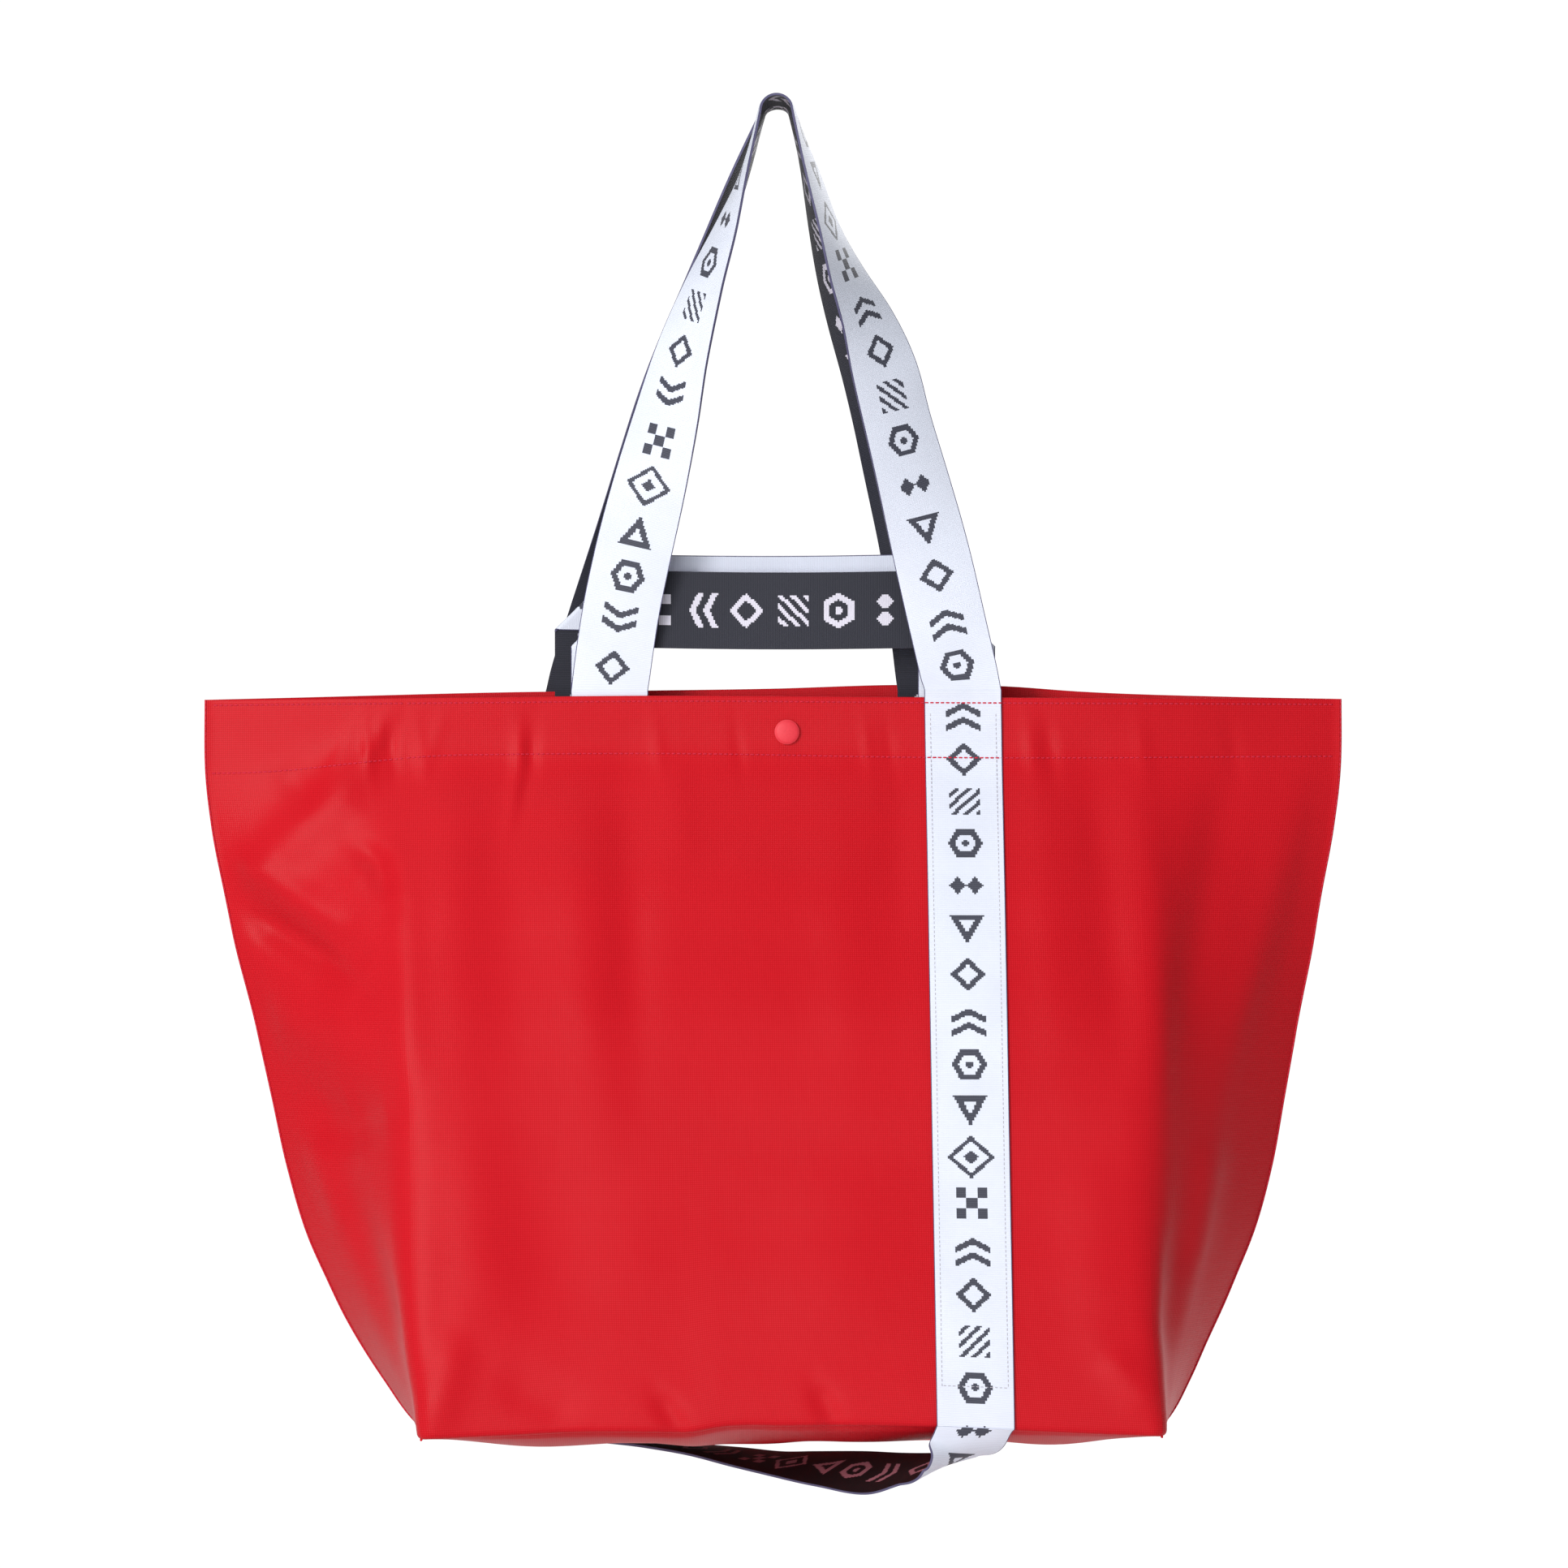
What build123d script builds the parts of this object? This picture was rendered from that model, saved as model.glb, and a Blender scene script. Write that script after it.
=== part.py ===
"""A foldable tote bag that hangs by its two long handles.

The row's origin is the hang point, on the underside of both long handles, with +Z up. The front of the
bag faces -Y and +X is to its right. All sizes are in millimetres. The cloth and webbing are soft, so
their solids are plain, a little thicker than the real cloth, and lie where the hanging bag holds them.
"""

import os
from math import atan2, cos, pi, radians, sin, sqrt

from build123d import *

os.makedirs("parts", exist_ok=True)

# Sizes of the whole bag
base_length = 476.0
base_width = 264.0
bag_height = 480.0
handle_height = 388.0  # from the mouth up to the underside of the long handles
mouth_half_gap = 24.0  # from the middle plane out to the front of the hem

# Cloth
fabric_thickness = 1.0
hem_depth = 40.0
hem_straight = 44.0  # the hem hangs straight down this far, then the cloth bulges
bulge_power = 0.5  # the depth grows as this power of the distance below the mouth
seam_width = 3.0
seam_thickness = 2.4

# Webbing
strap_width = 50.0
strap_thickness = 1.6
long_inside_leg_x = 106.0
long_outside_leg_x = 123.0
strap_base_x = 133.0  # the panel straps drift outward to here at the base
strap_slack = 32.0  # how far the strap sags below the base
slack_share = 0.76  # share of its run, from the front, over which the strap hangs free of the base
hook_radius = 9.4  # inside radius of the long handles' arch
handle_split = 2.0  # half the space between the two arches

# Short handles: centres of the two legs, and the grip's lower edge above the mouth
front_short_legs = (-106.0, 119.0)
back_short_legs = (-117.0, 107.0)
front_grip_rise = 32.0
back_grip_rise = 43.0
short_lean = 5.0  # degrees that the short handles lean inward

# Press fastener
snap_x = 9.0
snap_drop = 21.0
cap_radius = 8.0
cap_height = 2.2
shank_radius = 1.6
socket_radius = 6.2
socket_height = 3.8
socket_bore = 2.9
stud_head_radius = 2.7
stud_height = 4.1
snap_wall = 0.8
spring_wire_radius = 0.4
spring_turn = 300.0  # degrees of the open ring

# Clearances
sewn_gap = 0.1  # between layers that are sewn together
moving_gap = 0.4  # between pieces that move past each other
half_gap = 0.3  # from each side half to the plane of the side seam
leg_start = 3.0  # the free part of a handle starts this far above the mouth
fastener_gap = 0.1

# Places worked out from the sizes
base_half_length = base_length / 2
base_half_width = base_width / 2
mouth_z = -handle_height
base_z = mouth_z - bag_height
panel_half_length = base_half_length - fabric_thickness - moving_gap
half_strap = strap_thickness / 2
levels = [0, hem_straight] + [bag_height * share for share in (0.25, 0.5, 0.75, 0.9, 1)]

# Depths of the layers inside the hem, from the outside of the cloth inward
facing_depth = fabric_thickness + sewn_gap
first_tail_depth = facing_depth + fabric_thickness + sewn_gap
second_tail_depth = first_tail_depth + strap_thickness + moving_gap
fastener_depth = first_tail_depth


def save(piece, name):
    """Name a finished piece and write it to its own file."""
    piece.part.label = name
    export_step(piece.part, f"parts/{name}.step")


def half_depth(drop):
    """Distance from the middle plane to the outside of the front or back, at a drop below the mouth."""
    if drop <= hem_straight:
        return mouth_half_gap
    bulge = base_half_width * (drop / bag_height) ** bulge_power
    return max(mouth_half_gap, bulge)


def seam_x(drop):
    """Distance from the middle plane to the side seam: each side half keeps its width as it opens."""
    return base_half_length + sqrt(base_half_width**2 - half_depth(drop) ** 2)


def make_sheet(drops, outline, lift=0.0, snap_hole=False):
    """A sheet of cloth or webbing built up from its outline at each drop below the mouth.

    A sheet with a snap hole is pierced for the press fastener's shank.
    """
    with BuildPart() as sheet:
        for drop in drops:
            height = mouth_z - drop
            if drop == bag_height:
                height += lift
            with BuildSketch(Plane.XY.offset(height)):
                Polygon(*outline(drop))
        loft(ruled=True)
        if snap_hole:
            with BuildSketch(Plane(origin=(snap_x, 0, mouth_z - snap_drop), z_dir=(0, 1, 0))):
                Circle(shank_radius + fastener_gap)
            extrude(amount=2 * mouth_half_gap, both=True, mode=Mode.SUBTRACT)
    return sheet


def flat_outline(left, right, side, depth, thickness):
    """Outline of a layer that lies along the front (side -1) or back (side 1), this deep inside it."""

    def outline(drop):
        outer = side * (half_depth(drop) - depth)
        inner = side * (half_depth(drop) - depth - thickness)
        return [(left, outer), (right, outer), (right, inner), (left, inner)]

    return outline


def side_outline(end, side, depth, thickness):
    """Outline of one half of an end of the bag, from the soft crease round to the side seam."""

    def outline(drop):
        crease = Vector(base_half_length, half_depth(drop))
        seam = Vector(seam_x(drop), half_gap)
        along = (seam - crease).normalized()
        inward = Vector(along.Y, -along.X)
        corners = []
        for layer in (depth, depth + thickness):
            start = crease + inward * layer
            finish = start + along * ((half_gap - start.Y) / along.Y)
            corners.append((start, finish))
        (outer_start, outer_end), (inner_start, inner_end) = corners
        points = [outer_start, outer_end, inner_end, inner_start]
        return [(end * point.X, side * point.Y) for point in points]

    return outline


# ---- Cloth: front and back panels, and the facing of the hem inside each
for name, side, lift in (("front", -1, moving_gap), ("back", 1, 0.0)):
    panel_outline = flat_outline(-panel_half_length, panel_half_length, side, 0, fabric_thickness)
    panel = make_sheet(levels, panel_outline, lift, snap_hole=True)
    save(panel, f"{name}_panel")

    facing_outline = flat_outline(-panel_half_length, panel_half_length, side, facing_depth, fabric_thickness)
    facing = make_sheet([0, hem_depth], facing_outline, snap_hole=True)
    save(facing, f"{name}_hem_facing")

# ---- Cloth: the ends of the bag, one half each side of the side seam, and the hem facing in each
for end_name, end in (("left", -1), ("right", 1)):
    for side_name, side in (("front", -1), ("back", 1)):
        half = make_sheet(levels, side_outline(end, side, 0, fabric_thickness))
        save(half, f"{end_name}_{side_name}_side")

        half_facing = make_sheet([0, hem_depth], side_outline(end, side, facing_depth, fabric_thickness))
        save(half_facing, f"{end_name}_{side_name}_hem_facing")


# ---- Seams: down each side, and across each end of the base
def seam_outline(end):
    """Outline of the folded, topstitched strip outside the side seam."""

    def outline(drop):
        inner = end * seam_x(drop)
        outer = end * (seam_x(drop) + seam_width)
        half = seam_thickness / 2
        return [(inner, -half), (outer, -half), (outer, half), (inner, half)]

    return outline


for end_name, end in (("left", -1), ("right", 1)):
    side_seam = make_sheet(levels, seam_outline(end))
    save(side_seam, f"{end_name}_side_seam")

    with BuildPart() as base_seam:
        with BuildSketch(Plane.XY.offset(base_z)):
            with Locations((end * (base_half_length + seam_width / 2), 0)):
                Rectangle(seam_width, base_width)
        extrude(amount=-fabric_thickness)
    save(base_seam, f"{end_name}_base_seam")

# ---- Base
with BuildPart() as base_panel:
    with BuildSketch(Plane.XY.offset(base_z)):
        Rectangle(base_length, base_width)
    extrude(amount=-fabric_thickness)
save(base_panel, "base_panel")


# ---- Webbing sewn up the outside of the front and back panels
def strap_outline(side):
    """Outline of the panel strap, which drifts outward as it goes down."""

    def outline(drop):
        drift = (strap_base_x - long_outside_leg_x) * drop / bag_height
        middle = -side * (long_outside_leg_x + drift)
        left = middle - strap_width / 2
        right = middle + strap_width / 2
        inner = side * (half_depth(drop) + sewn_gap)
        outer = side * (half_depth(drop) + sewn_gap + strap_thickness)
        return [(left, inner), (right, inner), (right, outer), (left, outer)]

    return outline


for name, side, lift in (("front", -1, moving_gap), ("back", 1, 0.0)):
    panel_strap = make_sheet(levels, strap_outline(side), lift)
    save(panel_strap, f"{name}_panel_strap")


def make_band(planes):
    """Webbing carried through a row of planes, with its width along each plane's x."""
    with BuildPart() as webbing:
        for plane in planes:
            with BuildSketch(plane):
                Rectangle(strap_width, strap_thickness)
        loft(ruled=True)
    return webbing


# ---- Slack strap under the base: it sags steeply below the front, then runs close under the base to the back
under_shares = [0.03, 0.08, 0.14, 0.2, 0.3, 0.42, 0.54, 0.64, 0.72, 0.8, 0.9, 0.97]
under_turn = 0.25  # share of the way in which each end turns from square to slanting
under_angle = atan2(base_half_width, strap_base_x)
sag_steepness = 0.8  # below 1, the strap leaves the front edge more steeply
tangent_step = 0.01  # share of a run that is looked ahead to find its direction


def under_strap_point(share):
    """Point on the slack strap, for a share of the way from front to back."""
    reach = 1 - 2 * share
    across = base_half_width + sewn_gap + half_strap
    run = min(share / slack_share, 1)
    sag = strap_slack * max(sin(pi * sqrt(run)), 0) ** sag_steepness
    top = base_z - fabric_thickness - moving_gap - half_strap
    return Vector(strap_base_x * reach, -across * reach, top - sag)


def under_strap_plane(share):
    """Plane across the slack strap: square to the bag at the ends, and to the strap's run between."""
    ahead = under_strap_point(share + tangent_step)
    behind = under_strap_point(share - tangent_step)
    travel = (ahead - behind).normalized()
    near_end = min(min(share, 1 - share) / under_turn, 1)
    turn = (pi / 2 - under_angle) * near_end * near_end * (3 - 2 * near_end)
    width = Vector(cos(turn), sin(turn), 0)
    width = (width - travel * width.dot(travel)).normalized()
    return Plane(origin=under_strap_point(share), x_dir=width, z_dir=travel)


under_planes = [Plane(origin=under_strap_point(0), x_dir=(1, 0, 0), z_dir=(0, 0, -1))]
under_planes += [under_strap_plane(share) for share in under_shares]
under_planes.append(Plane(origin=under_strap_point(1), x_dir=(1, 0, 0), z_dir=(0, 0, 1)))

save(make_band(under_planes), "under_strap")

# ---- Long handles: up one leg, over the hook, and down the other, turning side-on towards the top
arch_radius = hook_radius + half_strap
arch_lean = 17.0  # degrees from upright at which the legs meet the arch
leg_bow = 6.5  # how far each leg bows outward, half way up
leg_shares = [0, 0.25, 0.45, 0.6, 0.75, 0.9]
arch_steps = 6
twist_start = 0.35  # share of the leg where the webbing starts to turn side-on
arch_y = handle_split + strap_width / 2
inside_leg_y = mouth_half_gap - first_tail_depth - half_strap
outside_leg_y = mouth_half_gap + sewn_gap + half_strap


def leg_point(share, foot_x, foot_y):
    """Point on a leg, for a share of the way from the hem up to the arch, as x outward, y and z."""
    top_x = arch_radius * cos(radians(arch_lean))
    top_z = arch_radius * sin(radians(arch_lean)) - hook_radius
    foot_z = mouth_z + leg_start
    x = foot_x + (top_x - foot_x) * share + leg_bow * sin(pi * share)
    y = foot_y + (arch_y - foot_y) * share
    z = foot_z + (top_z - foot_z) * share
    return Vector(x, -y, z)


def leg_twist(share):
    """Degrees that the webbing has turned side-on: none low down, a quarter turn at the arch."""
    rise = min(max((share - twist_start) / (1 - twist_start), 0), 1)
    return 90 * rise * rise * (3 - 2 * rise)


def handle_plane(point, travel, twist):
    """Plane across the webbing, with its width turned from the front plane by the twist."""
    travel = travel.normalized()
    flat = Vector(travel.Z, 0, -travel.X).normalized()
    width = flat * cos(radians(twist)) - Vector(0, 1, 0) * sin(radians(twist))
    return Plane(origin=point, x_dir=width, z_dir=travel)


def leg_planes(foot_x, foot_y, end):
    """Planes up one leg: end -1 is the left leg, walked upward, and end 1 the right, walked down."""
    planes = []
    for share in leg_shares:
        point = leg_point(share, foot_x, foot_y)
        ahead = leg_point(share + tangent_step, foot_x, foot_y) - point
        place = Vector(end * point.X, point.Y, point.Z)
        travel = Vector(-ahead.X, -end * ahead.Y, -end * ahead.Z)
        if share == 0:
            travel = Vector(0, 0, -end)
        planes.append(handle_plane(place, travel, leg_twist(share)))
    return planes


def arch_planes():
    """Planes over the hook, from the left leg round to the right."""
    planes = []
    for number in range(arch_steps + 1):
        angle = radians(180 - arch_lean - (180 - 2 * arch_lean) * number / arch_steps)
        point = Vector(arch_radius * cos(angle), -arch_y, arch_radius * sin(angle) - hook_radius)
        travel = Vector(sin(angle), 0, -cos(angle))
        planes.append(handle_plane(point, travel, 90))
    return planes


left_planes = leg_planes(long_inside_leg_x, inside_leg_y, -1)
right_planes = leg_planes(long_outside_leg_x, outside_leg_y, 1)
front_handle_planes = left_planes + arch_planes() + right_planes[::-1]


def half_turn(plane):
    """The same plane, turned half round the upright through the hang point."""
    origin = Vector(-plane.origin.X, -plane.origin.Y, plane.origin.Z)
    width = Vector(-plane.x_dir.X, -plane.x_dir.Y, plane.x_dir.Z)
    travel = Vector(-plane.z_dir.X, -plane.z_dir.Y, plane.z_dir.Z)
    return Plane(origin=origin, x_dir=width, z_dir=travel)


save(make_band(front_handle_planes), "front_long_handle")
save(make_band([half_turn(plane) for plane in front_handle_planes]), "back_long_handle")

# ---- Short handles: two legs and a grip behind them, folded at 45 degrees at each top corner
short_leg_y = mouth_half_gap - second_tail_depth - strap_thickness


def make_short_handle(side, legs, grip_rise):
    """A flat, leaning handle: legs on the outer side of its plane, and the grip on the inner side."""
    left, right = legs
    half = strap_width / 2
    low = grip_rise - leg_start
    high = low + strap_width
    lean = radians(short_lean)
    handle_face = Plane(
        origin=(0, side * short_leg_y, mouth_z + leg_start),
        x_dir=(1, 0, 0),
        z_dir=(0, side * cos(lean), sin(lean)),
    )
    up = handle_face.y_dir.Z
    with BuildPart() as handle:
        with BuildSketch(handle_face):
            for inner, outer in ((left + half, left - half), (right - half, right + half)):
                Polygon((outer, 0), (inner, 0), (inner, up * high), (outer, up * low))
        extrude(amount=strap_thickness)
        with BuildSketch(handle_face):
            Polygon(
                (left - half, up * low),
                (right + half, up * low),
                (right - half, up * high),
                (left + half, up * high),
            )
        extrude(amount=-strap_thickness)
    return handle


save(make_short_handle(-1, front_short_legs, front_grip_rise), "front_short_handle")
save(make_short_handle(1, back_short_legs, back_grip_rise), "back_short_handle")


# ---- Sewn ends of the handles, inside the hem
def make_tails(side, centres, depth):
    """The ends of a handle, each lying flat against the inside of the hem."""
    outer = side * (mouth_half_gap - depth)
    with BuildPart() as tails:
        with BuildSketch(Plane.XY.offset(mouth_z)):
            for centre in centres:
                with Locations((centre, outer - side * half_strap)):
                    Rectangle(strap_width, strap_thickness)
        extrude(amount=-hem_depth)
    return tails


save(make_tails(-1, [-long_inside_leg_x], first_tail_depth), "front_long_handle_tail")
save(make_tails(1, [long_inside_leg_x], first_tail_depth), "back_long_handle_tail")
save(make_tails(-1, front_short_legs, second_tail_depth), "front_short_handle_tails")
save(make_tails(1, back_short_legs, second_tail_depth), "back_short_handle_tails")

# ---- Press fastener: each profile is drawn as radius along x and depth into the bag along y
socket_hole = shank_radius + fastener_gap / 2
socket_floor = fastener_depth + snap_wall
socket_top = fastener_depth + socket_height
groove_depth = 1.1
groove_low = socket_floor + groove_depth - fastener_gap
groove_high = socket_top - snap_wall
groove_radius = socket_bore + groove_depth
socket_bevel = snap_wall / 2
stud_undercut = 0.35  # how much thinner the neck is than the head
stud_head_length = 1.2
stud_bevel = 0.5
stud_neck = stud_head_radius - stud_undercut
stud_top = fastener_depth + stud_height
stud_shoulder = stud_top - stud_head_length
shank_flare = 0.4  # thickness of the shank's flared end


def snap_plane(side):
    """Plane through the fastener's axis, with its origin on the outside of the hem."""
    return Plane(
        origin=(snap_x, side * mouth_half_gap, mouth_z - snap_drop),
        x_dir=(1, 0, 0),
        z_dir=(0, 0, -side),
    )


def make_cap(side, shank_end, flare_radius):
    """A domed cap with the shank that holds it, flared at its end when the flare is wider."""
    plane = snap_plane(side)
    rim = cap_height * 0.45
    dome_start = (0, -cap_height - sewn_gap)
    dome_middle = (cap_radius * 0.55, -cap_height * 0.88 - sewn_gap)
    dome_end = (cap_radius * 0.93, -rim - sewn_gap)
    rim_middle = (cap_radius, -rim * 0.6 - sewn_gap)
    rim_end = (cap_radius * 0.96, -sewn_gap)
    with BuildPart() as cap:
        with BuildSketch(plane):
            with BuildLine():
                ThreePointArc(dome_start, dome_middle, dome_end)
                ThreePointArc(dome_end, rim_middle, rim_end)
                Polyline(
                    rim_end,
                    (shank_radius, -sewn_gap),
                    (shank_radius, shank_end - shank_flare),
                    (flare_radius, shank_end - shank_flare),
                    (flare_radius, shank_end),
                    (0, shank_end),
                    dome_start,
                )
            make_face()
        revolve(axis=Axis(plane.origin, plane.y_dir))
    return cap


front_shank_end = socket_floor + fastener_gap + shank_flare
front_flare_radius = socket_bore - stud_bevel
back_shank_end = stud_shoulder - stud_bevel
back_tip_radius = shank_radius - 2 * fastener_gap
save(make_cap(-1, front_shank_end, front_flare_radius), "front_snap_cap")
save(make_cap(1, back_shank_end, back_tip_radius), "back_snap_cap")

socket_plane = snap_plane(-1)
with BuildPart() as front_snap_socket:
    with BuildSketch(socket_plane):
        Polygon(
            (socket_hole, fastener_depth),
            (socket_radius, fastener_depth),
            (socket_radius, socket_top - socket_bevel),
            (socket_radius - socket_bevel, socket_top),
            (socket_bore, socket_top),
            (socket_bore, groove_high),
            (groove_radius, groove_high),
            (groove_radius, groove_low),
            (socket_bore, groove_low),
            (socket_bore, socket_floor),
            (socket_hole, socket_floor),
        )
    revolve(axis=Axis(socket_plane.origin, socket_plane.y_dir))
save(front_snap_socket, "front_snap_socket")

spring_radius = socket_bore + spring_wire_radius - fastener_gap
with BuildPart() as front_snap_spring:
    with BuildSketch(socket_plane):
        with Locations((spring_radius, (groove_low + groove_high) / 2)):
            Circle(spring_wire_radius)
    revolve(axis=Axis(socket_plane.origin, socket_plane.y_dir), revolution_arc=spring_turn)
save(front_snap_spring, "front_snap_spring")

stud_plane = snap_plane(1)
stud_bore_end = back_shank_end + fastener_gap
with BuildPart() as back_snap_stud:
    with BuildSketch(stud_plane):
        Polygon(
            (socket_hole, fastener_depth),
            (socket_radius, fastener_depth),
            (socket_radius, socket_floor),
            (stud_neck, socket_floor + 2 * fastener_gap),
            (stud_neck, stud_shoulder - stud_undercut),
            (stud_head_radius, stud_shoulder),
            (stud_head_radius, stud_top - stud_bevel),
            (stud_head_radius - stud_bevel, stud_top),
            (0, stud_top),
            (0, stud_bore_end),
            (socket_hole, stud_bore_end),
        )
    revolve(axis=Axis(stud_plane.origin, stud_plane.y_dir))
save(back_snap_stud, "back_snap_stud")
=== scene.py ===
import bpy
import numpy as np
from math import atan2, cos, pi, radians, sin, sqrt
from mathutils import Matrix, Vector


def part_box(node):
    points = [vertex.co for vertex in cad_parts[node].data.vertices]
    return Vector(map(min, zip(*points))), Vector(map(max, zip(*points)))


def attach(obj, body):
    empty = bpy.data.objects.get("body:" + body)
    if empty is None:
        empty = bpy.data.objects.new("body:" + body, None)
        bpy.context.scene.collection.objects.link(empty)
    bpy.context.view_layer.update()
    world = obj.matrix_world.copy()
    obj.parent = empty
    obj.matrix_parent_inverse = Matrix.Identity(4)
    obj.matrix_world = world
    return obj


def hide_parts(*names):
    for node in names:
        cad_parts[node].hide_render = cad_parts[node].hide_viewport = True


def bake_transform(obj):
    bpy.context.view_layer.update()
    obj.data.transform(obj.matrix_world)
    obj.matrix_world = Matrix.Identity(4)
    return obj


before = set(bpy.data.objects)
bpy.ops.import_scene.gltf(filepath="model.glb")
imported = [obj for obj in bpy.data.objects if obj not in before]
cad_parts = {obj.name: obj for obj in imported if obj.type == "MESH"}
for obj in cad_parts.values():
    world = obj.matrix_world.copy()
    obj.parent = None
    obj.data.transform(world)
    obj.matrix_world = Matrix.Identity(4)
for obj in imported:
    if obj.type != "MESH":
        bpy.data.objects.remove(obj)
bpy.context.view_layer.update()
print("frame loaded")

# Lengths below are millimetres; meshes are written in metres
mm = 0.001
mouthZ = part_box("front_panel")[1][2] / mm
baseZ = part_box("base_panel")[1][2] / mm
bagHeight = mouthZ - baseZ
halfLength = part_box("base_panel")[1][0] / mm
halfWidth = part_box("base_panel")[1][1] / mm
halfGirth = halfLength + halfWidth
hemStandOff = 1.1  # the visible hem's outside, beyond the simple solid's
mouthGap = -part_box("front_hem_facing")[0][1] / mm + hemStandOff  # middle plane to the outside of the hem
frontSide, backSide = -1, 1


# Shader nodes
def feed(tree, node, values):
    # values: socket name or number, to a plain value or to the output that feeds it
    for socket, value in values.items():
        if isinstance(value, bpy.types.NodeSocket):
            tree.links.new(value, node.inputs[socket])
        else:
            node.inputs[socket].default_value = value


def addNode(tree, kind, values, **settings):
    made = tree.nodes.new(kind)
    for setting, value in settings.items():
        setattr(made, setting, value)
    feed(tree, made, values)
    return made


def compute(tree, operation, *values):
    return addNode(tree, "ShaderNodeMath", dict(enumerate(values)), operation=operation).outputs[0]


def mapRange(tree, *values):
    # value, the range it comes from, and the range it goes to
    return addNode(tree, "ShaderNodeMapRange", dict(enumerate(values))).outputs[0]


def mixColour(tree, share, first, second, **settings):
    values = {0: share, 6: first, 7: second}
    return addNode(tree, "ShaderNodeMix", values, data_type="RGBA", **settings).outputs[2]


def noise(tree, scale, detail, roughness=0.5):
    place = addNode(tree, "ShaderNodeTexCoord", {}).outputs["Object"]
    values = {"Vector": place, "Scale": scale, "Detail": detail, "Roughness": roughness}
    return addNode(tree, "ShaderNodeTexNoise", values).outputs[0]


def bump(tree, height, strength, distance):
    # distance in millimetres
    values = {"Height": height, "Strength": strength, "Distance": distance * mm}
    return addNode(tree, "ShaderNodeBump", values).outputs[0]


def weavePlace(tree):
    # distance across and along the cloth or webbing
    uv = addNode(tree, "ShaderNodeUVMap", {}, uv_map="weave").outputs[0]
    split = addNode(tree, "ShaderNodeSeparateXYZ", {0: uv})
    return split.outputs[0], split.outputs[1]


def startMaterial(name):
    material = bpy.data.materials.new(name)
    material.use_nodes = True
    tree = material.node_tree
    return material, tree, tree.nodes["Principled BSDF"]


# Camera, stage and lights
cameraSetup = {"distance": 10.0, "across": 0.0071, "height": -0.4427, "frameWidth": 1.016}
stageSetup = {"floor": -1.06, "halfWide": 1.7, "thick": 0.02}
lightSetup = {
    # name: place, aimed at, width, height, watts, colour
    "keyLight": ((-2.5, -3.8, 0.9), (0, 0, -0.55), 1.5, 1.5, 116, (1, 0.985, 0.965)),
    "frontLight": ((-1.5, -5.0, -0.45), (0, 0, -0.5), 2.4, 2.0, 78, (1, 1, 1)),
    "topLight": ((-0.6, -0.8, 2.2), (0, 0, -0.4), 1.6, 1.2, 16, (1, 1, 1)),
    "backLight": ((1.8, 3.6, 1.0), (0, 0, -0.5), 2.0, 2.0, 100, (1, 1, 1)),
}
# brightness of the studio above and below eye level, and of the thin pale band at eye level
worldLight = {"above": 0.22, "below": 0.38, "band": 1.06, "bandInner": 0.075, "bandOuter": 0.12}

cameraData = bpy.data.cameras.new("camera")
cameraData.sensor_width = 36
cameraData.lens = 36 * (cameraSetup["distance"] - mouthGap * mm) / cameraSetup["frameWidth"]
cameraData.clip_end = 60
camera = bpy.data.objects.new("camera", cameraData)
camera.location = (cameraSetup["across"], -cameraSetup["distance"], cameraSetup["height"])
camera.rotation_euler = (pi / 2, 0, 0)
bpy.context.scene.collection.objects.link(camera)
bpy.context.scene.camera = camera
bpy.context.scene.view_settings.view_transform = "Standard"


def addLight(name, place, aim, width, height, watts, colour):
    data = bpy.data.lights.new(name, "AREA")
    data.shape = "RECTANGLE"
    data.size = width
    data.size_y = height
    data.energy = watts
    data.color = colour
    light = bpy.data.objects.new(name, data)
    light.location = place
    light.rotation_euler = (Vector(aim) - Vector(place)).to_track_quat("-Z", "Y").to_euler()
    bpy.context.scene.collection.objects.link(light)


for lightName, values in lightSetup.items():
    addLight(lightName, *values)


def makeWorld(look):
    # dim above, pale below, and white along a thin band at eye level
    made = bpy.data.worlds.new("studio")
    made.use_nodes = True
    tree = made.node_tree
    place = addNode(tree, "ShaderNodeTexCoord", {}).outputs["Generated"]
    height = addNode(tree, "ShaderNodeSeparateXYZ", {0: place}).outputs[2]
    level = compute(tree, "ABSOLUTE", height)
    inner, outer = look["bandInner"], look["bandOuter"]
    band = mapRange(tree, level, inner, outer, look["band"], 0.0)
    ground = mapRange(tree, height, -outer, outer, look["below"], look["above"])
    brightest = compute(tree, "MAXIMUM", band, ground)
    feed(tree, tree.nodes["Background"], {"Strength": brightest, "Color": (1, 1, 1, 1)})
    bpy.context.scene.world = made


makeWorld(worldLight)
print("camera and lights set")


# Formulas shared by the pieces
def smooth(share):
    # eases from 0 to 1: 3 t squared minus 2 t cubed
    share = np.clip(share, 0, 1)
    return share * share * (3 - 2 * share)


def throughKnots(x, knotX, knotY):
    # cubic curve through the knots; the slope at a knot is that of the line joining its neighbours
    knotX, knotY = np.asarray(knotX, float), np.asarray(knotY, float)
    slope = np.gradient(knotY, knotX)
    x = np.clip(x, knotX[0], knotX[-1])
    i = np.clip(np.searchsorted(knotX, x, side="right") - 1, 0, len(knotX) - 2)
    gap = knotX[i + 1] - knotX[i]
    t = (x - knotX[i]) / gap
    ends = knotY[i] * (1 + 2 * t) * (1 - t) ** 2 + knotY[i + 1] * t * t * (3 - 2 * t)
    return ends + gap * (slope[i] * t * (1 - t) ** 2 - slope[i + 1] * t * t * (1 - t))


def unit(vectors):
    return vectors / np.maximum(np.linalg.norm(vectors, axis=-1, keepdims=True), 1e-9)


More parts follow.
